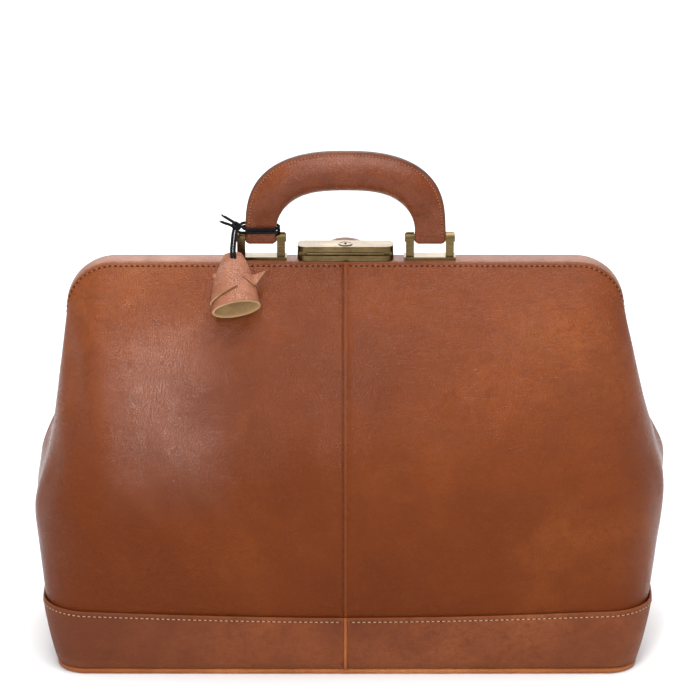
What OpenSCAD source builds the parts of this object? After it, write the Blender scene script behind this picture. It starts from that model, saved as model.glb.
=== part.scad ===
// Framed leather doctor bag: a soft hide body on a flat base, with a hinged steel frame at
// the mouth, a padded arch handle, a spring-free hasp lock and a key bell on a cord.
// The origin is at the middle of the underside. +X is along the width, -Y is the front.

/* [Body] */
// Width of the body at its widest
body_w = 450; // [430:1:470]
// Depth of the body at its widest
body_d = 196; // [186:1:206]
// Height above the floor where the body is widest
belly_z = 115; // [105:1:125]
// Width of the body at the floor
base_w = 409; // [402:1:412]
// Depth of the body at the floor
base_d = 187; // [182:1:190]
// Thickness of the hide
hide_t = 2; // [1.6:0.1:2.2]
// Height of the band round the base
band_h = 44; // [40:1:48]

/* [Frame] */
// Width over the closed frame
frame_w = 396; // [394:1:400]
// Height of the front frame's top above the floor
frame_z = 283; // [281:1:285]
// Radius of the frame's upper corners
frame_corner_r = 34; // [30:1:36]
// Depth of the front half of the frame
front_depth = 18; // [17.8:0.1:18.4]
// Depth of the back half of the frame
back_depth = 10; // [9.8:0.1:10.4]
// How much lower the back half stands
back_drop = 3; // [2.8:0.1:3.2]
// Height of the hinge axis above the floor
hinge_z = 195; // [192:1:198]

/* [Handle] */
// Spacing of the two handle legs, centre to centre
leg_spacing = 119.6; // [119:0.1:120]
// Rise of the grip's centre line above the handle pivots
grip_rise = 48.5; // [47:0.5:51]
// Height of the handle pivots above the frame
pivot_rise = 15.3; // [15.1:0.1:15.6]

/* [Lock] */
// Width of the lock case
lock_w = 68; // [66:1:70]
// Depth of the lock case
lock_d = 17; // [17:0.1:17.2]

/* [Hidden] */
$fn = 48;

hide = [0.66, 0.39, 0.22];
dark_hide = [0.56, 0.31, 0.16];
brass = [0.55, 0.48, 0.34];
steel = [0.62, 0.63, 0.65];
cloth = [0.72, 0.60, 0.44];
black_cord = [0.05, 0.05, 0.05];

// The rigid lower part of the body ends here; the hide above it flexes with the frame.
rim_z = 160;
// The lowest edge of the body, above the base piping.
skirt_z = 4.6;
piping_r = 2.2;
plan_corner_r = 20;
front_swell = 9;

// Half width and half depth of the body at height z: a quarter sine up to the belly and
// a quarter cosine above it.
function body_half(z, at_floor, at_belly, at_hinge) = z < belly_z
    ? at_floor + (at_belly - at_floor) * sin(90 * z / belly_z)
    : at_hinge + (at_belly - at_hinge) * cos(90 * (z - belly_z) / (hinge_z - belly_z));
function half_w(z) = body_half(z, base_w / 2, body_w / 2, 208);
function half_d(z) = body_half(z, base_d / 2, body_d / 2, 88);
function corner_r(z) = plan_corner_r + 22 * min(z, rim_z) / rim_z;
function swell(z) = front_swell * min(z, belly_z) / belly_z;

// Points along one quarter of an outline: straight, round the corner, straight.
front_steps = 6;
arc_steps = 6;
side_steps = 2;
function quarter(w, d, r) = concat(
    [for (i = [0 : front_steps - 1]) [(w - r) * i / front_steps, d]],
    [for (i = [0 : arc_steps]) let (a = 90 - 90 * i / arc_steps)
        [w - r + r * cos(a), d - r + r * sin(a)]],
    [for (i = [1 : side_steps]) [w, (d - r) * (1 - i / side_steps)]]
);
// The body's plan quarter at height z, inset by a distance, with the front slightly swollen.
function plan_quarter(z, inset = 0) =
    let (w = half_w(z) - inset, s = swell(z), d = half_d(z) - inset - s, r = corner_r(z) - inset)
    [for (p = quarter(w, d, r)) [p.x, p.y + s * (1 - pow(p.x / w, 2)) * p.y / d]];
// Right half of the plan outline, from the middle of the front to the middle of the back.
function plan_half(z, inset = 0) = let (q = plan_quarter(z, inset), n = len(q)) concat(
    [for (p = q) [p.x, -p.y, z]],
    [for (i = [n - 2 : -1 : 0]) [q[i].x, q[i].y, z]]
);
function plan_loop(z, inset = 0) = let (h = plan_half(z, inset), n = len(h)) concat(
    h, [for (i = [n - 2 : -1 : 1]) [-h[i].x, h[i].y, z]]
);

function flat_list(rows) = [for (row = rows) each row];

// A closed sheet between an outer and an inner grid of points. The rows run upwards and the
// points of a row run to the right, as seen from outside.
module thick_sheet(outer, inner) {
    rows = len(outer);
    cols = len(outer[0]);
    layer = rows * cols;
    function at(i, j) = i * cols + j;
    skin = [for (i = [0 : rows - 2], j = [0 : cols - 2]) each [
        [at(i, j), at(i + 1, j), at(i + 1, j + 1)],
        [at(i, j), at(i + 1, j + 1), at(i, j + 1)]
    ]];
    rim = concat(
        [for (j = [0 : cols - 1]) at(0, j)],
        [for (i = [1 : rows - 1]) at(i, cols - 1)],
        [for (j = [cols - 2 : -1 : 0]) at(rows - 1, j)],
        [for (i = [rows - 2 : -1 : 1]) at(i, 0)]
    );
    edge = [for (k = [0 : len(rim) - 1]) let (a = rim[k], b = rim[(k + 1) % len(rim)]) each [
        [a, b, b + layer],
        [a, b + layer, a + layer]
    ]];
    back = [for (f = skin) [f[0] + layer, f[2] + layer, f[1] + layer]];
    polyhedron(concat(flat_list(outer), flat_list(inner)), concat(skin, back, edge));
}

// A closed solid through a stack of equal loops, capped at both ends. Each loop runs
// anticlockwise as seen from the end of the stack.
module loft(loops) {
    n = len(loops[0]);
    last = (len(loops) - 1) * n;
    walls = [for (i = [0 : len(loops) - 2], j = [0 : n - 1])
        let (a = i * n + j, b = i * n + (j + 1) % n) each [
            [a, b + n, b],
            [a, a + n, b + n]
        ]];
    caps = concat(
        [for (j = [1 : n - 2]) [0, j, j + 1]],
        [for (j = [1 : n - 2]) [last, last + j + 1, last + j]]
    );
    polyhedron(flat_list(loops), concat(walls, caps));
}

// A round tube swept along a list of points.
function unit(v) = v / norm(v);
function heading(path, i) = unit(
    path[min(i + 1, len(path) - 1)] - path[max(i - 1, 0)]
);
module tube(path, r, sides = 8) {
    loft([for (i = [0 : len(path) - 1])
        let (t = heading(path, i),
            u = unit(cross(abs(t.z) > 0.9 ? [0, 1, 0] : [0, 0, 1], t)),
            v = cross(t, u))
        [for (k = [0 : sides - 1]) let (a = 360 * k / sides) path[i] + r * (cos(a) * u + sin(a) * v)]
    ]);
}

// ---- Base ----

module plan_slab(z, inset, h) {
    translate([0, 0, z]) linear_extrude(h) {
        w = base_w - 2 * inset;
        d = base_d - 2 * inset;
        r = plan_corner_r - inset;
        square([w, d - 2 * r], center = true);
        square([w - 2 * r, d], center = true);
        for (x = [-1, 1], y = [-1, 1]) translate([x * (w / 2 - r), y * (d / 2 - r)]) circle(r);
    }
}

module base_leather() {
    color(dark_hide) plan_slab(0, 2.4, hide_t);
}

module base_board() {
    color(cloth) plan_slab(hide_t + 0.1, 5, 2.4);
}

// A welt of covered cord round the edge of the base.
module base_piping() {
    inset = 0.1;
    r = plan_corner_r - inset;
    w = base_w / 2 - plan_corner_r;
    d = base_d / 2 - plan_corner_r;
    color(hide) translate([0, 0, piping_r]) {
        for (x = [-1, 1], y = [-1, 1]) translate([x * w, y * d, 0])
            rotate([0, 0, x > 0 ? (y > 0 ? 0 : 270) : (y > 0 ? 90 : 180)])
                rotate_extrude(angle = 90) translate([r, 0]) circle(piping_r);
        for (y = [-1, 1]) translate([-w, y * (d + r), 0])
            rotate([0, 90, 0]) cylinder(h = 2 * w, r = piping_r);
        for (x = [-1, 1]) translate([x * (w + r), -d, 0])
            rotate([-90, 0, 0]) cylinder(h = 2 * d, r = piping_r);
    }
}

module band_right() {
    heights = [skirt_z, 22, band_h];
    thick_sheet(
        [for (z = heights) plan_half(z, -hide_t)],
        [for (z = heights) plan_half(z, -0.1)]
    );
}

module base_band_left() {
    color(dark_hide) mirror([1, 0, 0]) band_right();
}

module base_band_right() {
    color(dark_hide) band_right();
}

// ---- Body ----

module lower_hide_right() {
    heights = [skirt_z, 22, band_h, 65, 90, belly_z, 138, rim_z];
    thick_sheet(
        [for (z = heights) plan_half(z)],
        [for (z = heights) plan_half(z, hide_t)]
    );
}

module body_leather_left() {
    color(hide) mirror([1, 0, 0]) lower_hide_right();
}

module body_leather_right() {
    color(hide) lower_hide_right();
}

// Half of the frame's edge line, from the middle of the top to the foot of the arm. Its
// points pair with those of plan_quarter.
arm_foot_z = hinge_z + 6;
function frame_edge(w, r, top, y) = concat(
    [for (i = [0 : front_steps - 1]) [(w - r) * i / front_steps, y, top]],
    [for (i = [0 : arc_steps]) let (a = 90 - 90 * i / arc_steps)
        [w - r + r * cos(a), y, top - r + r * sin(a)]],
    [for (i = [1 : side_steps])
        [w, y, top - r - (top - r - arm_foot_z) * i / side_steps]]
);
// How far out and how far down the hide has gone at a share v of the way from the frame:
// between a straight line and a quarter ellipse.
roundness = 0.3;
function out_share(v) = (1 - roundness) * v + roundness * sin(90 * v);
function down_share(v) = (1 - roundness) * v + roundness * (1 - cos(90 * v));

// One row of the right half of the hide between the frame's edge and the lower body's rim.
function upper_row(v, grow, inset, top, y) =
    let (a = frame_edge(frame_w / 2 + grow, frame_corner_r + grow, top + grow - 2, y),
        b = plan_quarter(rim_z, inset),
        s = out_share(v), t = down_share(v))
    [for (i = [0 : len(a) - 1]) [
        a[i].x + (b[i].x - a[i].x) * s,
        -(a[i].y + (b[i].y - a[i].y) * s),
        a[i].z + (rim_z - a[i].z) * t
    ]];
module upper_hide(depth, top) {
    shares = [1, 0.85, 0.7, 0.55, 0.4, 0.25, 0.12, 0];
    for (s = [0, 1]) mirror([s, 0, 0]) thick_sheet(
        [for (v = shares) upper_row(v, hide_t, 0, top, depth + hide_t)],
        [for (v = shares) upper_row(v, 0.3, hide_t, top, depth + 0.2)]
    );
}

module upper_leather_front() {
    color(hide) upper_hide(front_depth, frame_z);
}

module upper_leather_back() {
    color(hide) rotate([0, 0, 180]) upper_hide(back_depth, frame_z - back_drop);
}

// An open bag of thin cloth inside the lower body.
module body_lining() {
    gap = hide_t + 0.2;
    cloth_t = 1;
    floor_z = hide_t + 2.8;
    outside = [floor_z, 22, band_h, 65, 90, belly_z, 138, rim_z - 1];
    inside = [floor_z + cloth_t, 22, band_h, 65, 90, belly_z, 138, rim_z - 1];
    loops = concat(
        [for (z = outside) plan_loop(z, gap)],
        [for (i = [len(inside) - 1 : -1 : 0]) plan_loop(inside[i], gap + cloth_t)]
    );
    color(cloth) loft(loops);
}

// Narrow ridges over the seams that join the left and right hides, front and back.
module centre_welts() {
    w = 1.1;
    heights = [band_h + 1, 65, 90, belly_z, 138, rim_z];
    function ridge(z, side) = let (y = half_d(z)) [
        [-w, side * (y + 0.05), z], [w, side * (y + 0.05), z], [0, side * (y + 1.2), z]
    ];
    function turned(loop) = [loop[0], loop[2], loop[1]];
    color(dark_hide) {
        loft([for (z = heights) turned(ridge(z, -1))]);
        loft([for (z = heights) ridge(z, 1)]);
    }
}

// ---- Frame ----

sleeve_t = 6;
bar_t = 3.2;
bar_edge = 1.5;
bar_gap = 0.1;
eye_r = 8;
hinge_pin_r = 2.5;
running_gap = 0.05;
back_z = frame_z - back_drop;
screw_r = 1.5;
screw_gap = 0.05;

// The frame's arch seen from the front: straight arms, round corners and a flat top.
module arch_blank(w, r, top, foot) {
    translate([-w, foot]) square([2 * w, top - r - foot]);
    translate([-(w - r), foot]) square([2 * (w - r), top - foot]);
    for (x = [-1, 1]) translate([x * (w - r), top - r]) circle(r);
}
module arch(inset, t, top, foot, y_from, y_to) {
    w = frame_w / 2 - inset;
    r = frame_corner_r - inset;
    translate([0, y_to, 0]) rotate([90, 0, 0]) linear_extrude(y_to - y_from) difference() {
        arch_blank(w, r, top - inset, foot);
        arch_blank(w - t, r - t, top - inset - t, foot - 1);
    }
}

module screw_holes(places, z_from, z_to) {
    for (p = places) translate([p.x, p.y, z_from])
        cylinder(h = z_to - z_from, r = screw_r + screw_gap);
}

bracket_x = 59.75;
bracket_y = -9;
bracket_places = [for (s = [-1, 1], dx = [-5.5, 5.5]) [s * bracket_x + dx, bracket_y]];
lock_places = [for (x = [-26, 26], y = [-12, -5]) [x, y]];
catch_places = [for (x = [-8, 8]) [x, 5.5]];

bar_inset = (sleeve_t - bar_t) / 2;
bar_x = frame_w / 2 - bar_inset - bar_t;

module front_frame_steel() {
    color(steel) difference() {
        union() {
            arch(bar_inset, bar_t, frame_z, hinge_z + 5, -front_depth + bar_edge, -bar_edge);
            for (s = [0, 1]) mirror([s, 0, 0]) {
                translate([bar_x, 0, hinge_z]) rotate([0, 90, 0]) cylinder(h = bar_t, r = eye_r);
                translate([bar_x, -front_depth + bar_edge, hinge_z - 2])
                    cube([bar_t, front_depth - bar_edge, 8]);
            }
        }
        translate([-frame_w / 2, 0, hinge_z]) rotate([0, 90, 0])
            cylinder(h = frame_w, r = hinge_pin_r);
        screw_holes(concat(bracket_places, lock_places), frame_z - 8, frame_z + 1);
    }
}

module front_frame_leather() {
    color(dark_hide) difference() {
        arch(0, sleeve_t, frame_z, hinge_z + 11, -front_depth, -0.1);
        arch(bar_inset - bar_gap, bar_t + 2 * bar_gap, frame_z, hinge_z,
            -front_depth + bar_edge - bar_gap, -bar_edge + bar_gap);
        screw_holes(concat(bracket_places, lock_places), frame_z - 8, frame_z + 1);
    }
}

// Shouldered pins that the two halves of the frame turn on.
module hinge_pins() {
    head_r = 4.5;
    head_t = 1.4;
    inner_x = bar_x - bar_t - 0.4;
    color(brass) for (s = [0, 1]) mirror([s, 0, 0]) translate([0, 0, hinge_z]) rotate([0, 90, 0]) {
        translate([0, 0, inner_x - head_t]) cylinder(h = head_t, r = head_r);
        translate([0, 0, inner_x - head_t]) cylinder(h = bar_x + bar_t - inner_x + head_t, r = hinge_pin_r);
        translate([0, 0, bar_x + bar_t + 0.1]) cylinder(h = head_t, r = head_r);
        translate([0, 0, bar_x + bar_t - 0.1]) cylinder(h = 1, r = hinge_pin_r);
    }
}

module back_frame_steel() {
    lap_x = bar_x - bar_t - 0.2;
    bar_front = bar_edge;
    bar_back = back_depth - bar_edge;
    color(steel) difference() {
        union() {
            arch(bar_inset, bar_t, back_z, hinge_z + 10, bar_front, bar_back);
            for (s = [0, 1]) mirror([s, 0, 0]) {
                translate([lap_x, 0, hinge_z]) rotate([0, 90, 0]) cylinder(h = bar_t, r = eye_r);
                translate([lap_x, 0, hinge_z - 2]) cube([bar_t, bar_back, 16]);
                translate([lap_x, bar_front, hinge_z + 10]) cube([2 * bar_t, bar_back - bar_front, 4]);
            }
        }
        translate([-frame_w / 2, 0, hinge_z]) rotate([0, 90, 0])
            cylinder(h = frame_w, r = hinge_pin_r + running_gap);
        screw_holes(catch_places, back_z - 8, back_z + 1);
    }
}

module back_frame_leather() {
    color(dark_hide) difference() {
        arch(0, sleeve_t, back_z, hinge_z + 15, 0.1, back_depth);
        arch(bar_inset - bar_gap, bar_t + 2 * bar_gap, back_z, hinge_z,
            bar_edge - bar_gap, back_depth - bar_edge + bar_gap);
        screw_holes(catch_places, back_z - 8, back_z + 1);
    }
}

// Countersunk screws driven up from inside the mouth.
module screws(places, head_z, tip_z) {
    head_h = 1.4;
    color(brass) for (p = places) translate([p.x, p.y, 0]) {
        translate([0, 0, head_z - head_h]) cylinder(h = head_h, r = 2.8);
        translate([0, 0, head_z - 0.5]) cylinder(h = tip_z - head_z + 0.5, r = screw_r);
    }
}

// ---- Handle brackets ----

post_w = 5.7;
post_d = 8;
post_gap = 22.5;
flange_t = 2.2;
pivot_z = frame_z + pivot_rise;
pivot_y = bracket_y;
handle_pin_r = 2.5;

module handle_bracket() {
    flange_w = 36.3;
    flange_d = 12;
    difference() {
        union() {
            translate([-flange_w / 2, -flange_d / 2, frame_z]) cube([flange_w, flange_d, flange_t]);
            for (s = [0, 1]) mirror([s, 0, 0]) {
                translate([post_gap / 2, -post_d / 2, frame_z]) cube([post_w, post_d, pivot_rise]);
                translate([post_gap / 2, 0, pivot_z]) rotate([0, 90, 0])
                    cylinder(h = post_w, r = post_d / 2);
            }
        }
        translate([-flange_w / 2, 0, pivot_z]) rotate([0, 90, 0])
            cylinder(h = flange_w, r = handle_pin_r);
        screw_holes([[-5.5, 0], [5.5, 0]], frame_z - 1, frame_z + flange_t - 0.6);
    }
}

module handle_bracket_left() {
    color(brass) translate([-bracket_x, bracket_y, 0]) handle_bracket();
}

module handle_bracket_right() {
    color(brass) translate([bracket_x, bracket_y, 0]) handle_bracket();
}

module bracket_screws() {
    screws(bracket_places, frame_z - sleeve_t, frame_z + flange_t - 0.7);
}

module handle_pins() {
    head_r = 3.2;
    head_t = 0.8;
    reach = post_gap + 2 * post_w;
    color(brass) for (s = [-1, 1]) translate([s * bracket_x - reach / 2, pivot_y, pivot_z])
        rotate([0, 90, 0]) {
            cylinder(h = reach, r = handle_pin_r);
            translate([0, 0, -head_t]) cylinder(h = head_t, r = head_r);
            translate([0, 0, reach]) cylinder(h = head_t, r = head_r);
        }
}

// ---- Handle ----

leg_w = 21.6;
leg_d = 9;
grip_w = 28.6;
grip_d = 24;
bush_r = 3.4;
// Height shares between which the flat leg grows into the round grip.
grow_from = 0.12;
grow_to = 0.85;
// The grip's arch is squarer than a circle.
arch_power = 0.75;
function smooth_step(t) = let (c = max(0, min(1, t))) c * c * (3 - 2 * c);
function bow_point(a) = let (c = cos(a), s = sin(a)) [
    leg_spacing / 2 * sign(c) * pow(abs(c), arch_power),
    pivot_y,
    pivot_z + grip_rise * pow(abs(s), arch_power)
];
bow_angles = [0, 1, 4, 9, 16, 24, 32, 40, 48, 56, 64, 72, 81, 90];
bow_all = concat(bow_angles, [for (i = [len(bow_angles) - 2 : -1 : 0]) 180 - bow_angles[i]]);
bow = [for (a = bow_all) bow_point(a)];

// The handle's section: round underneath, drawn in to a stitched edge along the outside.
section_sides = 16;
function bow_loop(i, trim) =
    let (p = bow[i],
        t = i == 0 ? [0, 0, 1] : i == len(bow) - 1 ? [0, 0, -1] : heading(bow, i),
        out = [t.z, 0, -t.x],
        f = smooth_step(((p.z - pivot_z) / grip_rise - grow_from) / (grow_to - grow_from)),
        w = leg_w / 2 + (grip_w - leg_w) / 2 * f - trim,
        d = leg_d / 2 + (grip_d - leg_d) / 2 * f - trim,
        flat = 0.45 - 0.1 * f)
    [for (k = [0 : section_sides - 1]) let (a = 360 * k / section_sides,
            narrow = 1 - 0.45 * f * max(0, cos(a)))
        p + w * sign(cos(a)) * pow(abs(cos(a)), flat + 0.55 * f) * out
          + d * narrow * sign(sin(a)) * pow(abs(sin(a)), flat + 0.55 * f) * [0, 1, 0]];
module bow_solid(trim) {
    loft([for (i = [0 : len(bow) - 1]) bow_loop(i, trim)]);
}

// Everything above a height, wide enough for the whole handle.
module above(z) {
    translate([-100, -60, z]) cube([200, 120, 80]);
}

module handle_core() {
    color(cloth) intersection() {
        bow_solid(hide_t + 0.1);
        above(pivot_z + bush_r + 0.2);
    }
}

module handle_leather() {
    color(hide) difference() {
        union() {
            bow_solid(0);
            for (s = [-1, 1]) translate([s * leg_spacing / 2 - leg_w / 2, pivot_y, pivot_z])
                rotate([0, 90, 0]) cylinder(h = leg_w, r = leg_d / 2);
        }
        intersection() {
            bow_solid(hide_t);
            above(pivot_z + 1);
        }
        translate([-100, pivot_y, pivot_z]) rotate([0, 90, 0]) cylinder(h = 200, r = bush_r);
    }
}

module handle_bushes() {
    color(brass) for (s = [-1, 1])
        translate([s * leg_spacing / 2 - leg_w / 2, pivot_y, pivot_z]) rotate([0, 90, 0])
            difference() {
                cylinder(h = leg_w, r = bush_r);
                translate([0, 0, -1]) cylinder(h = leg_w + 2, r = handle_pin_r + running_gap);
            }
}

// ---- Lock ----

case_t = 5.2;
lid_t = 5.4;
lock_r = 6;
lock_front = -17.7;
lock_back = lock_front + lock_d;
lid_z = frame_z + case_t + 0.1;
knuckle_r = 1.1;
knuckle_y = lock_front + knuckle_r;
knuckle_z = lid_z;
lock_pin_r = 0.6;
knuckle_edges = [-27, -16, -5, 5, 16, 27];
rebate_d = 2.5;
slot_w = 16;
slot_z = frame_z + 1.2;
plug_r = 4;
plug_y = -10.1;
cam_r = 4.3;
strike_y = -2.4;
strike_r = 1.2;

module lock_plan(h) {
    linear_extrude(h) {
        translate([-lock_w / 2, lock_front + lock_r]) square([lock_w, lock_d - 2 * lock_r]);
        translate([-lock_w / 2 + lock_r, lock_front]) square([lock_w - 2 * lock_r, lock_d]);
        for (x = [-1, 1], y = [lock_front + lock_r, lock_back - lock_r])
            translate([x * (lock_w / 2 - lock_r), y]) circle(lock_r);
    }
}

// Barrels of the lid's hinge: parity 0 on the case, parity 1 on the lid.
module knuckles(parity) {
    for (i = [0 : len(knuckle_edges) - 2]) if (i % 2 == parity)
        translate([knuckle_edges[i] + 0.1, knuckle_y, knuckle_z]) rotate([0, 90, 0])
            cylinder(h = knuckle_edges[i + 1] - knuckle_edges[i] - 0.2, r = knuckle_r);
}
// Leaves that tie the barrels to the case or to the lid.
module knuckle_leaves(parity, z_from, h) {
    for (i = [0 : len(knuckle_edges) - 2]) if (i % 2 == parity)
        translate([knuckle_edges[i] + 0.1, knuckle_y, z_from])
            cube([knuckle_edges[i + 1] - knuckle_edges[i] - 0.2, rebate_d, h]);
}

module lock_case() {
    color(brass) difference() {
        union() {
            difference() {
                translate([0, 0, frame_z]) lock_plan(case_t);
                translate([-lock_w / 2, lock_front - 1, frame_z + case_t - 1.2])
                    cube([lock_w, rebate_d + 1, 3]);
            }
            knuckles(0);
            knuckle_leaves(0, frame_z + case_t - 2, 1.9);
        }
        translate([-lock_w / 2, knuckle_y, knuckle_z]) rotate([0, 90, 0])
            cylinder(h = lock_w, r = lock_pin_r);
        translate([0, plug_y, frame_z + 2.6]) cylinder(h = case_t, r = cam_r + 0.6);
        translate([-slot_w / 2, lock_back - 4, slot_z]) cube([slot_w, 5, case_t]);
        screw_holes(lock_places, frame_z - 1, frame_z + 3.4);
    }
}

module lock_screws() {
    screws(lock_places, frame_z - sleeve_t, frame_z + 3.3);
}

module lock_hinge_pin() {
    from = knuckle_edges[0];
    to = knuckle_edges[len(knuckle_edges) - 1];
    color(brass) translate([from, knuckle_y, knuckle_z]) rotate([0, 90, 0])
        cylinder(h = to - from, r = lock_pin_r);
}

tab_r = 14.5;
// Length of the tab's straight part, before its round end.
tab_straight = 8.5;
tab_t = 2.3;
tab_z = lid_z + 0.1;
tab_places = [[-9, -2.9], [9, -2.9]];

// The lid carries the strike pin, which drops between the prongs of the catch.
module lock_lid() {
    color(brass) difference() {
        union() {
            difference() {
                translate([0, 0, lid_z]) lock_plan(lid_t);
                translate([-lock_w / 2, lock_front - 1, lid_z - 1]) cube([lock_w, rebate_d + 1, 2.3]);
                translate([-tab_r - 0.2, lock_back - 4.6, lid_z - 1])
                    cube([2 * tab_r + 0.4, 6, tab_t + 1.2]);
            }
            knuckles(1);
            knuckle_leaves(1, lid_z + 0.1, 1.4);
            translate([0, strike_y, lid_z - 3.2]) cylinder(h = 6.5, r = strike_r);
            translate([0, plug_y, lid_z + lid_t]) cylinder(h = 0.5, r = plug_r + 1);
        }
        translate([-lock_w / 2, knuckle_y, knuckle_z]) rotate([0, 90, 0])
            cylinder(h = lock_w, r = lock_pin_r + running_gap);
        translate([0, plug_y, lid_z - 1]) cylinder(h = lid_t + 3, r = plug_r + running_gap);
        for (p = tab_places) translate([p.x, p.y, lid_z]) cylinder(h = 4, r = 1.15);
    }
}

module lock_tab() {
    tab_front = lock_back - 4.4;
    color(hide) translate([0, 0, tab_z]) linear_extrude(tab_t) difference() {
        union() {
            translate([-tab_r, tab_front]) square([2 * tab_r, tab_straight]);
            intersection() {
                translate([0, tab_front + tab_straight]) circle(tab_r);
                translate([-tab_r, tab_front + tab_straight - 0.1]) square([2 * tab_r, tab_r + 1]);
            }
        }
        translate([0, strike_y]) circle(strike_r + 0.1);
        for (p = tab_places) translate(p) circle(1.15);
    }
}

module tab_rivets() {
    color(brass) for (p = tab_places) translate([p.x, p.y, tab_z]) cylinder(h = 3.7, r = 1.1);
}

// A quarter-turn plug with a plain keyhole and a locking cam at its foot.
module key_cylinder() {
    top = lid_z + lid_t + 0.3;
    color(brass) difference() {
        union() {
            translate([0, plug_y, lid_z - 0.9]) cylinder(h = top - lid_z + 0.9, r = plug_r);
            translate([0, plug_y, lid_z - 2.1]) intersection() {
                cylinder(h = 1.3, r = cam_r);
                translate([-cam_r, -1.6, 0]) cube([2 * cam_r, 3.2, 1.3]);
            }
        }
        translate([0, plug_y + 1, top - 3.5]) cylinder(h = 4, r = 1.1);
        translate([-0.55, plug_y - 2.4, top - 3.5]) cube([1.1, 3.4, 4]);
    }
}

// A fork on the back half of the frame, open towards the front.
module lock_catch() {
    fork_z = frame_z + 1.8;
    fork_t = 2.4;
    color(brass) difference() {
        union() {
            translate([-12, 2.4, back_z]) cube([24, 6.2, 2.2]);
            translate([-6, 3, back_z]) cube([12, 5, fork_z + fork_t - back_z]);
            for (s = [0, 1]) mirror([s, 0, 0])
                translate([2.2, -4.2, fork_z]) cube([3.6, 8, fork_t]);
        }
        screw_holes(catch_places, back_z - 1, back_z + 1.7);
    }
}

module catch_screws() {
    screws(catch_places, back_z - sleeve_t, back_z + 1.6);
}

// ---- Key bell and cord ----

// The bell leans on the hide in front of the left handle bracket.
bell_top = [-79, -29, 292];
bell_tilt = 41;
bell_lean = 4;
bell_t = 1.6;
bell_sides = 24;
function bell_ring(s, a, b) = [for (k = [0 : bell_sides - 1]) let (t = 360 * k / bell_sides)
    [a * cos(t), b * sin(t), -s]];
module place_bell() {
    translate(bell_top) rotate([-bell_tilt, 0, 0]) rotate([0, -bell_lean, 0]) children();
}
// Half width and half thickness of the bell along its length.
bell_stations = [[0, 6, 2.4], [5, 8.4, 3.4], [15, 11.8, 6.4], [27, 14.6, 9.4], [41, 17.2, 12]];
module tag_bell() {
    n = len(bell_stations);
    color(hide) place_bell() difference() {
        loft([for (i = [n - 1 : -1 : 0]) let (s = bell_stations[i]) bell_ring(s[0], s[1], s[2])]);
        loft([for (i = [n - 1 : -1 : 1]) let (s = bell_stations[i])
            bell_ring(s[0] + (i == n - 1 ? 1 : 0), s[1] - bell_t, s[2] - bell_t)]);
        translate([0, 1, -5]) rotate([90, 0, 0]) cylinder(h = 20, r = 2.8);
    }
}

module tag_key() {
    bow_r = 6;
    key_t = 1.6;
    color(brass) place_bell() translate([0, key_t / 2, 0]) rotate([90, 0, 0]) difference() {
        union() {
            translate([0, -21]) cylinder(h = key_t, r = bow_r);
            translate([-1.8, -37]) cube([3.6, 11, key_t]);
            translate([-1.8, -37]) cube([6, 4, key_t]);
        }
        translate([0, -20, -1]) cylinder(h = key_t + 2, r = 2.5);
    }
}

// The cord goes twice round the left leg of the handle. From its knot it hangs doubled, goes in
// at the front of the bell and through the eye of the key. The drop's route is in the bell's own
// frame, and starts and ends with the two loose ends.
cord_r = 1;
loop_route = [
    [-75.4, -16, 304], [-73, -16.2, 303.7], [-68, -15.8, 303.6], [-60, -15.7, 303.6],
    [-52, -15.6, 303.6], [-48.6, -14.4, 303.6], [-47.3, -12, 303.6], [-47, -9, 303.6],
    [-47.3, -6, 303.6], [-48.6, -3.6, 303.6], [-52, -2.4, 303.6], [-60, -2.3, 303.8],
    [-68, -2.4, 304.3], [-71, -3.6, 304.9], [-72.4, -6, 305.4], [-72.6, -9, 305.7],
    [-72.2, -12, 305.8], [-70.6, -14.6, 305.8], [-67.4, -15.7, 305.8], [-60, -15.9, 305.8],
    [-52.6, -15.8, 305.8], [-49.4, -14.6, 305.9], [-47.6, -12, 306], [-47.2, -9, 306],
    [-47.6, -6, 306.1], [-49.4, -3.4, 306.2], [-53, -2.2, 306.3], [-60, -2, 306.5],
    [-68, -2.2, 307], [-71.4, -3.6, 307.4], [-73, -6, 307.8], [-73.8, -9, 308],
    [-74.2, -11.2, 308.1], [-74.8, -13.2, 308.2]
];
drop_route = [
    [-6.8, 0.4, 25.5], [-3.8, -0.4, 23.6], [-1, -1.2, 22], [1, -1.6, 20.4],
    [1.6, -1.9, 18.4], [0.6, -2.4, 14], [-0.1, -3, 9], [-0.7, -3.6, 4.5], [-1.1, -4.2, 1],
    [-1.1, -4.4, -1.6], [-1.1, -4.2, -3.4], [-1.1, -3.2, -4.7], [-1.1, -2.1, -5.6],
    [-1.1, -1.2, -6.8], [-1.1, -0.8, -8.8], [-1.1, -1.3, -11.2], [-1.1, -1.95, -14],
    [-1.1, -1.95, -17.2], [-0.8, -1.8, -18.6], [-0.3, -0.9, -19.5], [0, 0, -19.7],
    [0.3, 0.9, -19.5], [0.8, 1.8, -18.6], [1.1, 1.95, -17.2], [1.1, 1.95, -14.6],
    [1.1, 1.3, -12.9], [1.1, 0.3, -11.2], [1.1, -0.6, -9.2],
    [1.1, -1.2, -6.8], [1.1, -2.1, -5.6], [1.1, -3.2, -4.7], [1.1, -4.2, -3.4],
    [1.1, -4.4, -1.6], [1.1, -4.2, 1], [1.5, -3.6, 4.5], [2.1, -3, 9], [2.9, -2.4, 14],
    [4, -2.2, 18.4], [3.6, -3.2, 21], [1, -4.2, 23], [-1.8, -5.1, 24.8], [-4.8, -5.9, 26.6]
];

module cord_loop() {
    color(black_cord) tube(loop_route, cord_r);
}

module cord_drop() {
    color(black_cord) place_bell() tube(drop_route, cord_r);
}

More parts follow.
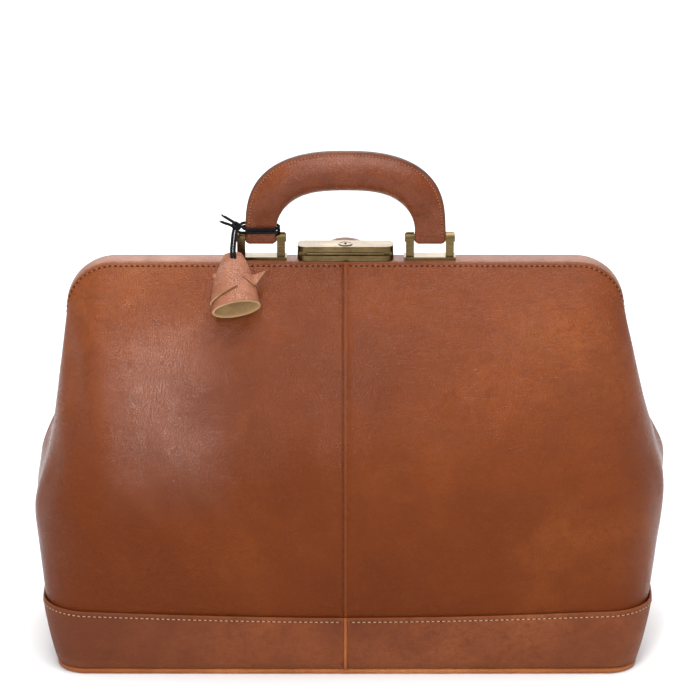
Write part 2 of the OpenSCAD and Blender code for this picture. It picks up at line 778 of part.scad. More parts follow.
base_leather();
base_board();
base_piping();
base_band_left();
base_band_right();
body_leather_left();
body_leather_right();
upper_leather_front();
upper_leather_back();
body_lining();
centre_welts();
front_frame_steel();
front_frame_leather();
hinge_pins();
handle_bracket_left();
handle_bracket_right();
bracket_screws();
handle_pins();
lock_case();
lock_screws();
lock_hinge_pin();
back_frame_steel();
back_frame_leather();
lock_catch();
catch_screws();
handle_core();
handle_leather();
handle_bushes();
lock_lid();
lock_tab();
tab_rivets();
key_cylinder();
tag_bell();
tag_key();
cord_loop();
cord_drop();
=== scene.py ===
import math

import bpy
import numpy as np
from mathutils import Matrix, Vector, noise


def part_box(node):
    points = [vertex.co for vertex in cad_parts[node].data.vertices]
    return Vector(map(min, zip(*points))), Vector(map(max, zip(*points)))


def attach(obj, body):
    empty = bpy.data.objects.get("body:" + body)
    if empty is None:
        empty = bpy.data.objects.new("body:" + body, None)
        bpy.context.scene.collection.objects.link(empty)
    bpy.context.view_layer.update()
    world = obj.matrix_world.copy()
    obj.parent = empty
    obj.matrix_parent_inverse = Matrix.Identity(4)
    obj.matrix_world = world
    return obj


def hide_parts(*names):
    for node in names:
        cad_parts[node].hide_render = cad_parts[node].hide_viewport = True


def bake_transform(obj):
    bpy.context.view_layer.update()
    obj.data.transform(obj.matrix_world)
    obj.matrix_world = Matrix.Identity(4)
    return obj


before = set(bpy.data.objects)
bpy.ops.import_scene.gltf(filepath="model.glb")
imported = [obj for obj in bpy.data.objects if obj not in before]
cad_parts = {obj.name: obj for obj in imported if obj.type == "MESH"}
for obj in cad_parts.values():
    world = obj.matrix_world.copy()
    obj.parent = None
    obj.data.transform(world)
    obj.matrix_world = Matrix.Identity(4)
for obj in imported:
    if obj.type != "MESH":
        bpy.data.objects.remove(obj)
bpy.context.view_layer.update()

MM = 0.001
X, Y, Z = np.eye(3)


# ---- Camera, lights and floor ----

CAMERA_TARGET = Vector((0.0032, 0.0, 0.2114))
CAMERA_ELEVATION = math.radians(18)
CAMERA_DISTANCE = 2.5
CAMERA_LENS = 179.0
LIGHTS_AIM = Vector((0, 0, 0.15))


def add_object(name, data):
    thing = bpy.data.objects.new(name, data)
    bpy.context.scene.collection.objects.link(thing)
    return thing


def add_camera():
    data = bpy.data.cameras.new("camera")
    data.lens = CAMERA_LENS
    data.clip_end = 100
    camera = add_object("camera", data)
    away = Vector((0, -math.cos(CAMERA_ELEVATION), math.sin(CAMERA_ELEVATION)))
    camera.location = CAMERA_TARGET + away * CAMERA_DISTANCE
    camera.rotation_euler = (-away).to_track_quat("-Z", "Y").to_euler()
    bpy.context.scene.camera = camera


def add_softbox(name, place, size, watts, colour=(1, 1, 1)):
    """A rectangular soft light at place that faces the bag."""
    data = bpy.data.lights.new(name, "AREA")
    data.shape = "RECTANGLE"
    data.size, data.size_y = size
    data.energy = watts
    data.color = colour
    light = add_object(name, data)
    light.location = place
    aim = LIGHTS_AIM - Vector(place)
    light.rotation_euler = aim.to_track_quat("-Z", "Y").to_euler()
    light.visible_camera = False


def add_world(strength):
    world = bpy.data.worlds.new("studio")
    world.use_nodes = True
    inputs = world.node_tree.nodes["Background"].inputs
    inputs["Color"].default_value = (0.97, 0.98, 1.0, 1)
    inputs["Strength"].default_value = strength
    bpy.context.scene.world = world


# ---- Materials ----

class Shader:
    """A node material that ends in one Principled shader."""

    def __init__(self, name):
        self.material = bpy.data.materials.new(name)
        self.material.use_nodes = True
        self.tree = self.material.node_tree
        self.tree.nodes.clear()
        self.surface = self.node("BsdfPrincipled", {})
        self.node("OutputMaterial", {"Surface": self.surface.outputs["BSDF"]})
        self.place = self.node("TexCoord", {}).outputs["Object"]

    def node(self, kind, inputs, **settings):
        """A new node, whose settings are made before its inputs are filled or linked."""
        node = self.tree.nodes.new("ShaderNode" + kind)
        for name, value in settings.items():
            setattr(node, name, value)
        for name, value in inputs.items():
            self.put(node.inputs[name], value)
        return node

    def put(self, socket, value):
        if hasattr(value, "is_linked"):
            self.tree.links.new(value, socket)
        elif isinstance(value, tuple) and socket.type == "RGBA":
            socket.default_value = (*value, 1)
        else:
            socket.default_value = value

    def set(self, **values):
        for name, value in values.items():
            self.put(self.surface.inputs[name.replace("_", " ")], value)

    def stretched(self, x, y, z):
        return self.node("Mapping", {"Vector": self.place, "Scale": (x, y, z)}).outputs["Vector"]

    def noise(self, scale, detail=3.0, roughness=0.55, distortion=0.0, at=None):
        inputs = {"Vector": at or self.place, "Scale": scale, "Detail": detail,
                  "Roughness": roughness, "Distortion": distortion}
        return self.node("TexNoise", inputs).outputs["Fac"]

    def cells(self, scale, feature="DISTANCE_TO_EDGE"):
        inputs = {"Vector": self.place, "Scale": scale}
        return self.node("TexVoronoi", inputs, feature=feature).outputs["Distance"]

    def waves(self, scale, direction, distortion):
        inputs = {"Vector": self.place, "Scale": scale, "Distortion": distortion}
        return self.node("TexWave", inputs, bands_direction=direction).outputs["Fac"]

    def coordinate(self, axis):
        return self.node("SeparateXYZ", {"Vector": self.place}).outputs[axis]

    def distance(self, axis, middle):
        """How far a point is, along an axis, from middle."""
        return self.maths("ABSOLUTE", self.maths("SUBTRACT", self.coordinate(axis), middle))

    def crests(self):
        """Above 0.5 where the mesh is convex, so that worn edges can be paler."""
        return self.node("NewGeometry", {}).outputs["Pointiness"]

    def remap(self, value, low, high, to_low=0.0, to_high=1.0):
        """A smooth step from to_low, where value is low, to to_high, where it is high."""
        inputs = {"Value": value, "From Min": low, "From Max": high, "To Min": to_low,
                  "To Max": to_high}
        return self.node("MapRange", inputs, interpolation_type="SMOOTHSTEP").outputs["Result"]

    def maths(self, operation, a, b=0.0):
        return self.node("Math", {0: a, 1: b}, operation=operation).outputs["Value"]

    def mix(self, share, a, b):
        """Colour a, and share of colour b over it."""
        inputs = {"Factor": share, "A": a, "B": b}
        return self.node("Mix", inputs, data_type="RGBA").outputs["Result"]

    def bump(self, height, strength, distance, under=None):
        inputs = {"Strength": strength, "Distance": distance, "Height": height}
        if under is not None:
            inputs["Normal"] = under
        return self.node("Bump", inputs).outputs["Normal"]


# Places on the body's hide, in metres: its polished patch, and a thin line of painted shade beside its
# seam, with the colour of that painted shade.
PATCH_X, PATCH_Z = -0.125, 0.185
SEAM_SHADE_X = -0.0016
SEAM_SHADE_TONE = (0.07, 0.018, 0.006)


def leather(name, dark, mid, light, roughness=0.42, shine=0.22, grain=1.0, low_shade_tone=None):
    """Vegetable-tanned hide: cloudy colour, pebbled grain, fine wrinkles and a waxed surface.
    With a low tone it is the body's: painted shade darkens it lower down, it is polished in one patch,
    and a thin line of painted shade runs beside its seam."""
    s = Shader(name)
    clouds = s.noise(6.0, 4, 0.58, 0.7)
    blotches = s.noise(24, 5, 0.62, 0.3)
    fine = s.noise(260, 4, 0.65)
    wrinkles = s.noise(90, 7, 0.68, 0.5, at=s.stretched(1.0, 1.0, 1.5))
    pebbles = s.remap(s.cells(620), 0.0, 0.16)
    pores = s.remap(s.cells(1700, "F1"), 0.0, 0.35)
    worn_patches = s.remap(s.noise(9, 3), 0.42, 0.62)
    colour = s.mix(s.remap(clouds, 0.32, 0.54), dark, mid)
    colour = s.mix(s.remap(clouds, 0.5, 0.7), colour, light)
    colour = s.mix(s.remap(blotches, 0.42, 0.68, 0, 0.4), colour, dark)
    colour = s.mix(s.remap(blotches, 0.28, 0.42, 0.3, 0), colour, light)
    sheen = shine
    if low_shade_tone:
        polished = s.maths("MULTIPLY", s.remap(s.distance("X", PATCH_X), 0.015, 0.060, 1, 0),
                           s.remap(s.distance("Z", PATCH_Z), 0.020, 0.080, 1, 0))
        polished = s.maths("MULTIPLY", polished, s.remap(clouds, 0.3, 0.6, 0.6 * shine, 1.5 * shine))
        sheen = s.remap(s.coordinate("Z"), 0.10, 0.24, 0.3 * shine, 0.8 * shine)
        sheen = s.maths("ADD", sheen, polished)
        # Painted shade: the hide is darkened towards the bottom, where less light falls on it.
        shade_height = s.maths("ADD", s.coordinate("Z"), s.maths("MULTIPLY", clouds, 0.16))
        colour = s.mix(s.remap(shade_height, 0.10, 0.30, 0.75, 0), colour, low_shade_tone)
        # Painted shade: a thin dark line beside the seam's welt, where the valley there is shaded.
        seam_shade = s.remap(s.distance("X", SEAM_SHADE_X), 0.0005, 0.0013, 0.75, 0)
        colour = s.mix(seam_shade, colour, SEAM_SHADE_TONE)
    colour = s.mix(s.remap(fine, 0.4, 0.7, 0, 0.38), colour, dark)
    colour = s.mix(s.remap(wrinkles, 0.36, 0.46, 0.5, 0), colour, dark)
    colour = s.mix(s.remap(wrinkles, 0.56, 0.68, 0, 0.1), colour, light)
    colour = s.mix(s.remap(pebbles, 0, 1, 0.4, 0), colour, dark)
    colour = s.mix(s.remap(s.crests(), 0.52, 0.6, 0, 0.4), colour, light)
    wrinkle_height = s.maths("MULTIPLY", wrinkles, s.maths("ADD", worn_patches, 0.45))
    normal = s.bump(wrinkle_height, 0.62 * grain, 0.0013)
    normal = s.bump(fine, 0.35 * grain, 0.0004, normal)
    normal = s.bump(pebbles, 0.7 * grain, 0.0003, normal)
    normal = s.bump(pores, 0.3 * grain, 0.00008, normal)
    rough = s.maths("ADD", roughness, s.remap(blotches, 0.3, 0.75, -0.07, 0.10))
    s.set(Base_Color=colour, Roughness=rough, Normal=normal, Specular_IOR_Level=sheen)
    return s.material


def raw_leather(name):
    s = Shader(name)
    fibres = s.noise(420, 5, 0.7)
    tone = s.noise(60, 3)
    colour = s.mix(s.remap(tone, 0.3, 0.7), (0.40, 0.24, 0.105), (0.56, 0.37, 0.175))
    colour = s.mix(s.remap(fibres, 0.35, 0.7, 0, 0.5), colour, (0.34, 0.20, 0.09))
    s.set(Base_Color=colour, Roughness=0.85, Normal=s.bump(fibres, 0.7, 0.0005))
    return s.material


def edge_paint(name):
    s = Shader(name)
    lumps = s.noise(180, 3)
    colour = s.mix(s.remap(lumps, 0.3, 0.7), (0.030, 0.018, 0.016), (0.075, 0.045, 0.038))
    s.set(Base_Color=colour, Roughness=0.42, Normal=s.bump(lumps, 0.4, 0.0004))
    return s.material


def thread(name, dark, light):
    s = Shader(name)
    twist = s.waves(1400, "DIAGONAL", 1.5)
    colour = s.mix(s.remap(twist, 0.2, 0.8), dark, light)
    s.set(Base_Color=colour, Roughness=0.7, Sheen_Weight=0.3, Normal=s.bump(twist, 0.5, 0.0002))
    return s.material


def stitch_hole_shade(name):
    """The shaded leather inside a stitch's hole."""
    s = Shader(name)
    tone = s.mix(s.noise(900, 2), (0.040, 0.010, 0.004), (0.085, 0.024, 0.010))
    s.set(Base_Color=tone, Roughness=1.0, Specular_IOR_Level=0.0)
    return s.material


def cord_fibre(name):
    s = Shader(name)
    fibres = s.noise(900, 4, 0.7, at=s.stretched(1, 1, 0.4))
    colour = s.mix(s.remap(fibres, 0.35, 0.7), (0.004, 0.004, 0.005), (0.016, 0.016, 0.018))
    s.set(Base_Color=colour, Roughness=0.95, Specular_IOR_Level=0.1, Normal=s.bump(fibres, 0.8, 0.0003))
    return s.material


def antique_brass(name):
    """Brass plate with a dark patina, finely brushed along its width."""
    s = Shader(name)
    clouds = s.noise(55, 4, 0.6)
    specks = s.noise(700, 3, 0.6)
    brushing = s.noise(60, 4, 0.7, at=s.stretched(0.7, 30, 30))
    colour = s.mix(s.remap(clouds, 0.35, 0.68), (0.115, 0.076, 0.031), (0.190, 0.132, 0.060))
    colour = s.mix(s.remap(brushing, 0.35, 0.65, 0, 0.4), colour, (0.065, 0.041, 0.017))
    colour = s.mix(s.remap(specks, 0.58, 0.72, 0, 0.4), colour, (0.025, 0.015, 0.007))
    rough = s.remap(brushing, 0.3, 0.7, 0.24, 0.38)
    s.set(Base_Color=colour, Metallic=1.0, Roughness=rough, Normal=s.bump(brushing, 0.12, 0.0002))
    return s.material


def strip_steel(name):
    s = Shader(name)
    brushing = s.noise(45, 4, 0.7, at=s.stretched(1, 25, 25))
    spots = s.noise(120, 4)
    colour = s.mix(s.remap(brushing, 0.3, 0.7), (0.17, 0.17, 0.18), (0.30, 0.30, 0.31))
    colour = s.mix(s.remap(spots, 0.6, 0.75, 0, 0.4), colour, (0.12, 0.08, 0.05))
    s.set(Base_Color=colour, Metallic=1.0, Roughness=0.5, Normal=s.bump(brushing, 0.15, 0.0002))
    return s.material


def woven_lining(name):
    s = Shader(name)
    across = s.waves(420, "X", 0.6)
    up = s.waves(420, "Z", 0.6)
    weave = s.maths("MULTIPLY", across, up)
    slubs = s.noise(70, 4, at=s.stretched(1, 1, 6))
    colour = s.mix(s.remap(slubs, 0.3, 0.7), (0.50, 0.37, 0.22), (0.64, 0.50, 0.33))
    colour = s.mix(s.remap(weave, 0, 0.6, 0.4, 0), colour, (0.30, 0.20, 0.11))
    s.set(Base_Color=colour, Roughness=0.9, Sheen_Weight=0.3, Normal=s.bump(weave, 0.5, 0.0004))
    return s.material


def fibre_board(name):
    s = Shader(name)
    flecks = s.noise(500, 5, 0.75)
    colour = s.mix(s.remap(flecks, 0.35, 0.7), (0.30, 0.22, 0.14), (0.46, 0.36, 0.25))
    s.set(Base_Color=colour, Roughness=0.9, Normal=s.bump(flecks, 0.4, 0.0004))
    return s.material


def pale_floor(name):
    s = Shader(name)
    tone = s.noise(2.0, 2)
    s.set(Base_Color=s.mix(tone, (0.86, 0.865, 0.875), (0.89, 0.892, 0.90)), Roughness=0.6,
          Specular_IOR_Level=0.2)
    return s.material


# The body's hide; its low tone is painted shade lower down.
BODY_HIDE = leather("body_hide", (0.146, 0.031, 0.006), (0.210, 0.046, 0.008),
                    (0.300, 0.080, 0.017), roughness=0.24, shine=0.28,
                    low_shade_tone=(0.118, 0.024, 0.0045))
BAND_HIDE = leather("band_hide", (0.130, 0.030, 0.009), (0.225, 0.058, 0.016),
                    (0.300, 0.090, 0.030), roughness=0.46, shine=0.18)
# The welts' and piping's paler trim hide, made paler still as a painted highlight along these narrow
# ridges.
WELT_HIDE_AND_HIGHLIGHT = leather("welt_hide_and_highlight", (0.280, 0.074, 0.018), (0.480, 0.155, 0.040),
                    (0.600, 0.230, 0.075), roughness=0.4)
# Much paler than the body's hide: a painted highlight along the seam's ridge.
SEAM_HIGHLIGHT_HIDE = leather("seam_highlight_hide", (0.520, 0.190, 0.060), (0.760, 0.340, 0.130),
                    (0.860, 0.470, 0.230), roughness=0.36)
STRIP_HIDE = leather("strip_hide", (0.150, 0.046, 0.018), (0.240, 0.078, 0.032),
                     (0.310, 0.115, 0.055), roughness=0.36, shine=0.26)
HANDLE_HIDE = leather("handle_hide", (0.100, 0.020, 0.0045), (0.188, 0.042, 0.009),
                      (0.295, 0.080, 0.021), roughness=0.26, shine=0.30, grain=0.7)
BELL_HIDE = leather("bell_hide", (0.230, 0.074, 0.031), (0.400, 0.145, 0.072),
                    (0.520, 0.245, 0.155), roughness=0.34, shine=0.5, grain=1.6)
RAW_HIDE = raw_leather("raw_hide")
EDGE_PAINT = edge_paint("edge_paint")
CREAM_THREAD = thread("cream_thread", (0.34, 0.21, 0.10), (0.56, 0.39, 0.22))
TAN_THREAD = thread("tan_thread", (0.26, 0.09, 0.035), (0.46, 0.19, 0.085))
HIDE_THREAD = thread("hide_thread", (0.20, 0.055, 0.016), (0.36, 0.12, 0.040))
BROWN_THREAD = thread("brown_thread", (0.10, 0.035, 0.015), (0.24, 0.085, 0.035))
STITCH_HOLE_SHADE = stitch_hole_shade("stitch_hole_shade")
CORD_FIBRE = cord_fibre("cord_fibre")
BRASS = antique_brass("antique_brass")
STEEL = strip_steel("frame_steel")
LINING = woven_lining("lining_cloth")
BOARD = fibre_board("fibre_board")


# ---- Shape helpers. Lengths are in millimetres until a mesh is made ----

def smooth_step(t):
    t = np.clip(t, 0, 1)
    return t * t * (3 - 2 * t)


def lerp(a, b, t):
    return a + (b - a) * t


def through(points, count):
    """count points on a smooth curve through the given ones, evenly spaced in parameter."""
    p = np.asarray(points, float)
    p = np.concatenate([[2 * p[0] - p[1]], p, [2 * p[-1] - p[-2]]])
    where = np.linspace(0, len(p) - 3, count)
    i = np.minimum(where.astype(int), len(p) - 4)
    t = (where - i).reshape((-1,) + (1,) * (p.ndim - 1))
    a, b, c, d = p[i], p[i + 1], p[i + 2], p[i + 3]
    return 0.5 * (2 * b + (c - a) * t + (2 * a - 5 * b + 4 * c - d) * t**2
                  + (3 * b - 3 * c + d - a) * t**3)


def evenly(points, pitch):
    """Points about a pitch apart along a polyline."""
    p = np.asarray(points, float)
    steps = np.linalg.norm(np.diff(p, axis=0), axis=1)
    along = np.concatenate([[0], np.cumsum(steps)])
    count = max(2, int(round(along[-1] / pitch)) + 1)
    where = np.linspace(0, along[-1], count)
    return np.stack([np.interp(where, along, p[:, k]) for k in range(3)], axis=1)


def unit(vectors):
    """The vectors, each made one long."""
    return vectors / np.linalg.norm(vectors, axis=-1, keepdims=True)


def add_mesh(name, verts, faces, materials, material_of=None):
    data = bpy.data.meshes.new(name)
    corners = np.asarray(verts, float).reshape(-1, 3) * MM
    data.from_pydata([tuple(v) for v in corners], [], faces)
    for material in materials:
        data.materials.append(material)
    data.polygons.foreach_set("use_smooth", [True] * len(data.polygons))
    if material_of is not None:
        data.polygons.foreach_set("material_index", material_of)
    data.update()
    return add_object(name, data)


def fix(piece, body, slot, *nodes):
    """The piece rides on a body and may replace nodes of the CAD. Its slot is not used."""
    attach(piece, body)
    stand_for(nodes)


def stand_for(nodes):
    if nodes:
        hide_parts(*nodes)


def grid_faces(rows, cols, wrap=False):
    across = cols if wrap else cols - 1
    return [(i * cols + j, i * cols + (j + 1) % cols, (i + 1) * cols + (j + 1) % cols,
             (i + 1) * cols + j) for i in range(rows - 1) for j in range(across)]


def end_faces(rings, sides):
    """The two faces that close a tube of rings at its ends."""
    return [tuple(range(sides - 1, -1, -1)), tuple((rings - 1) * sides + j for j in range(sides))]


def tube_faces(rings, sides):
    return grid_faces(rings, sides, wrap=True) + end_faces(rings, sides)


def flipped(faces):
    return [f[::-1] for f in faces]


def sheet_faces(rows, cols):
    """The faces of a thin sheet whose outer grid of points is followed by its inner one. They
    come with a list that has 0 for an outer face and 1 for an inner one or the rim."""
    size = rows * cols
    outer = grid_faces(rows, cols)
    inner = [tuple(k + size for k in f[::-1]) for f in outer]
    border = ([j for j in range(cols)] + [i * cols + cols - 1 for i in range(1, rows)]
              + [(rows - 1) * cols + j for j in range(cols - 2, -1, -1)]
              + [i * cols for i in range(rows - 2, 0, -1)])
    rim = [(a, a + size, b + size, b) for a, b in zip(border, border[1:] + border[:1])]
    return outer + inner + rim, [0] * len(outer) + [1] * (len(inner) + len(rim))


def frames_along(path):
    """Two cross directions at each point of a path, turning as little as they can."""
    t = unit(np.gradient(np.asarray(path, float), axis=0))
    first = np.array((0, 0, 1) if abs(t[0][2]) < 0.9 else (0, 1, 0), float)
    side = []
    for direction in t:
        first = first - direction * first.dot(direction)
        first /= np.linalg.norm(first)
        side.append(first.copy())
    side = np.array(side)
    return side, np.cross(t, side)


def swept(path, section):
    """Vertices and faces of a section swept along a path. section(i) gives its points as
    (first, second) offsets along the two cross directions."""
    a, b = frames_along(path)
    rings = []
    for i, p in enumerate(path):
        shape = np.asarray(section(i), float)
        rings.append(p + shape[:, :1] * a[i] + shape[:, 1:] * b[i])
    return np.concatenate(rings), tube_faces(len(path), len(rings[0]))


def ring_at(centre, shape, first, second):
    """A section's points round a centre, laid out along two directions."""
    return [centre + first * a + second * b for a, b in shape]


def circle(radius, sides):
    angles = np.linspace(0, 2 * math.pi, sides, endpoint=False)
    return np.stack([radius * np.cos(angles), radius * np.sin(angles)], axis=1)


def joined(parts):
    """One list of vertices and one of faces from several (verts, faces) pairs."""
    verts, faces, first = [], [], 0
    for v, f in parts:
        verts.append(np.asarray(v, float))
        faces += [tuple(k + first for k in face) for face in f]
        first += len(v)
    return np.concatenate(verts), faces


def bead(start, end, radius, lift=(0, 0, 0)):
    """One stitch: a small spindle from start to end whose middle is lifted."""
    shares = [0.0, 0.12, 0.5, 0.88, 1.0]
    girths = [0.25, 0.85, 1.0, 0.85, 0.25]
    path = np.array([lerp(start, end, s) + np.array(lift) * math.sin(math.pi * s) for s in shares])
    return swept(path, lambda i: circle(radius * girths[i], 6))


def add_stitches(name, body, points, normals, radius, material, hole_radius, gap=0.2,
                 hole_reach=0.55):
    """A row of stitches along points on a surface, with a dark bead of painted shade for the hole at
    each end of a stitch. The gap is the share of a stitch's pitch that is left bare at each of its
    ends."""
    sunk, crown, hole_sunk = 0.1, 0.15, 0.12
    threads, holes = [], []
    for a, b, n in zip(points[:-1], points[1:], normals):
        start, end = (lerp(a, b, share) - n * sunk for share in (gap, 1 - gap))
        threads.append(bead(start, end, radius, n * crown))
        # Painted shade: a dark bead that stands for the shaded inside of the stitch's hole.
        reach = unit(b - a) * hole_reach
        low = a - n * hole_sunk
        holes.append(bead(low - reach, low + reach, hole_radius))
    verts, faces = joined(threads + holes)
    in_threads = sum(len(f) for _, f in threads)
    material_of = [0] * in_threads + [1] * (len(faces) - in_threads)
    piece = add_mesh(name, verts, faces, [material, STITCH_HOLE_SHADE], material_of)
    fix(piece, body, "cord")


def modify(piece, kind, **settings):
    modifier = piece.modifiers.new(kind.lower(), kind)
    for name, value in settings.items():
        setattr(modifier, name, value)
    return modifier


def bevel(piece, width, angle, segments=2):
    modify(piece, "BEVEL", width=width * MM, segments=segments, limit_method="ANGLE",
           angle_limit=angle)


def bend_with(piece, moving, weights, slot, *nodes):
    """The piece's transform is baked into its mesh, and it may replace nodes of the CAD. Its moving,
    weights and slot are not used.
    """
    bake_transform(piece)
    stand_for(nodes)


# ---- Dimensions shared with the CAD ----

frame_box = [np.array(c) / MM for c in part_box("front_frame_leather")]
back_box = [np.array(c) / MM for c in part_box("back_frame_leather")]
FRAME_HALF_W = frame_box[1][0]
FRAME_TOP = frame_box[1][2]
BACK_TOP = back_box[1][2]
FRONT_Y = frame_box[0][1]
BACK_Y = back_box[1][1]
FRAME_R = 34.0
SLEEVE_T = 6.0
ARM_FOOT_Z = 201.0
SKIRT_Z = 4.6
BAND_TOP = 44.0
HIDE_T = 2.0
RIM_Z = 150.0
STRIP_PROUD = 0.4
STRIP_ABOVE = 0.7
SWELL = 9.5
BOW = 3.0
FLOOR_R = 20.0
RIM_R = 58.0

# Half widths of the body at heights above the floor, right and left: the bag isn't quite even.
RIGHT_PROFILE = [(0, 205.5), (40, 216), (75, 221.8), (104, 224.2), (120, 225.6), (137, 225),
                 (150, 222.6)]
LEFT_PROFILE = [(0, 203.5), (40, 213.3), (75, 218), (100, 219.8), (113, 219.4), (133, 215.4),
                (150, 211.2)]
DEPTH_PROFILE = [(0, 93.4), (40, 95.4), (75, 97), (115, 97.8), (150, 95.4)]


def profile(points, z):
    heights, values = np.array(points, float).T
    slopes = np.gradient(values, heights)
    i = int(np.clip(np.searchsorted(heights, z) - 1, 0, len(heights) - 2))
    gap = heights[i + 1] - heights[i]
    t = (z - heights[i]) / gap
    return ((2 * t**3 - 3 * t**2 + 1) * values[i] + (t**3 - 2 * t**2 + t) * gap * slopes[i]
            + (3 * t**2 - 2 * t**3) * values[i + 1] + (t**3 - t**2) * gap * slopes[i + 1])


# Shares of a quarter of the outline where the front ends, where the corner ends and where the
# arm of the frame ends.
CORNER_FROM = 0.58
CORNER_TO = 0.84
ARM_TO = 0.955


def corner_angle(u):
    """How far round a corner the share u is, from 90 degrees at the front to 0 at the side."""
    return math.radians(90) * (1 - (u - CORNER_FROM) / (CORNER_TO - CORNER_FROM))


def plan_point(u, z, side, face, inset=0.0):
    """A point of the lower body at height z. side is +1 right or -1 left, face -1 front or +1 back.
    The front swells towards its middle, and the side does a little."""
    w = profile(RIGHT_PROFILE if side > 0 else LEFT_PROFILE, z) - inset
    swell = SWELL * smooth_step((z + 12) / 90)
    d = profile(DEPTH_PROFILE, z) - inset - swell
    r = max(1.0, lerp(FLOOR_R, RIM_R, smooth_step(z / 160)) - inset)
    if u < CORNER_FROM:
        x, y = (w - r) * u / CORNER_FROM, d
    elif u < CORNER_TO:
        a = corner_angle(u)
        x, y = w - r + r * math.cos(a), d - r + r * math.sin(a)
    else:
        x, y = w, (d - r) * (1 - (u - CORNER_TO) / (1 - CORNER_TO))
    bow = BOW * smooth_step((z + 20) / 70) * smooth_step((x / w - 0.55) / 0.45)
    x += bow * (0.4 - (y / d) ** 2)
    y += swell * (1 - (x / w) ** 2) * y / d
    return np.array([side * x, face * y, z])


def edge_point(u, side, face, out, inward):
    """A point of the hide's top edge, which follows a half of the frame and then goes under
    the hinge to the middle of the side. The strip stands a little proud of it all round."""
    tuck, drop = 2.5, 13
    top = (FRAME_TOP if face < 0 else BACK_TOP) - STRIP_ABOVE - inward
    y = abs(FRONT_Y if face < 0 else BACK_Y) + out
    half = FRAME_HALF_W - STRIP_PROUD - inward
    r = FRAME_R - inward
    arm_top = top - r
    if u < CORNER_FROM:
        x, z = (half - r) * u / CORNER_FROM, top
    elif u < CORNER_TO:
        a = corner_angle(u)
        x, z = half - r + r * math.cos(a), arm_top + r * math.sin(a)
    elif u < ARM_TO:
        x, z = half, lerp(arm_top, ARM_FOOT_Z, (u - CORNER_TO) / (ARM_TO - CORNER_TO))
    else:
        a = math.radians(90) * (u - ARM_TO) / (1 - ARM_TO)
        x = half - tuck * math.sin(a)
        z = ARM_FOOT_Z - drop * (1 - math.cos(a))
        y *= math.cos(a)
    return np.array([side * x, face * y, z])


UPPER_SHARES = [0, 0.03, 0.1, 0.22, 0.36, 0.5, 0.64, 0.78, 0.9]
LOWER_HEIGHTS = [140, 127, 112, 95, 75, 58, 40, 22, SKIRT_Z]
COLUMN_ROWS = len(UPPER_SHARES) + len(LOWER_HEIGHTS)


def column(u, side, face, inset):
    """Points down the hide from the frame to the floor, at share u of the quarter outline. An
    inset column is the lining's, which ends at the inner side of the frame's strip."""
    bulge, droop = 0.32, 0.28
    inward = SLEEVE_T + STRIP_PROUD if inset else 0.0
    top = edge_point(u, side, face, HIDE_T - inset, inward)
    rim = plan_point(u, RIM_Z, side, face, inset)
    hug = smooth_step((u - 0.5) / 0.25)
    lateness = lerp(1.25, 2.3, smooth_step((u - 0.79) / 0.12))
    points = []
    for v in UPPER_SHARES:
        turn = math.pi / 2 * v
        out = lerp(v, math.sin(turn), bulge)
        down = lerp(v, 1 - math.cos(turn), droop)
        sideways = lerp(out, v**lateness, hug)
        points.append([lerp(top[0], rim[0], sideways), lerp(top[1], rim[1], out),
                       lerp(top[2], rim[2], down)])
    for z in LOWER_HEIGHTS:
        points.append(plan_point(u, z, side, face, inset))
    return np.array(points)


# Soft dents and swells of the hide: where (x, z), how wide, how tall, how far in, and lean.
FRONT_FOLDS = [
    ((-198, 150), 20, 46, 0.5, 8),
    ((-174, 200), 13, 60, 2.2, 6),
    ((-192, 205), 9, 50, -1.2, 6),
    ((201, 182), 16, 32, 0.5, -10),
    ((-22, 165), 16, 44, -1.3, 4),
    ((30, 215), 26, 34, 1.2, -8),
    ((178, 200), 22, 30, -2.2, -10),
    ((-150, 165), 38, 50, -2.4, 12),
    ((-60, 150), 60, 40, 1.4, 0),
    ((70, 120), 70, 50, -1.4, 10),
    ((140, 130), 30, 55, 1.4, -14),
    ((-208, 215), 10, 50, 1.2, 4),
    ((-178, 96), 18, 40, 1.5, 20),
    ((196, 88), 22, 36, 1.4, -20),
    ((-110, 82), 60, 22, 1.2, 4),
    ((40, 70), 80, 20, 1.3, -3),
    ((150, 74), 40, 18, -1.2, 6),
]
BACK_FOLDS = [
    ((-190, 160), 22, 44, 2.8, 8),
    ((196, 170), 20, 40, 2.6, -8),
    ((-80, 140), 60, 46, 2.0, 12),
    ((60, 150), 60, 40, -1.8, -8),
    ((130, 100), 40, 40, 1.8, 14),
    ((-20, 80), 80, 24, 1.4, 0),
]
# Folds of the sides, where (y, z): the gusset draws in below the hinge.
SIDE_FOLDS = [
    ((0, 160), 16, 34, 4.5, 0),
    ((0, 118), 30, 22, 2.0, 0),
    ((-46, 120), 12, 40, 1.6, 10),
    ((46, 120), 12, 40, 1.6, -10),
]


def dent(a, b, fold):
    (a0, b0), wide, tall, depth, lean = fold
    turn = math.radians(lean)
    da, db = a - a0, b - b0
    across = da * math.cos(turn) + db * math.sin(turn)
    along = -da * math.sin(turn) + db * math.cos(turn)
    return depth * np.exp(-(across / wide) ** 2 - (along / tall) ** 2)


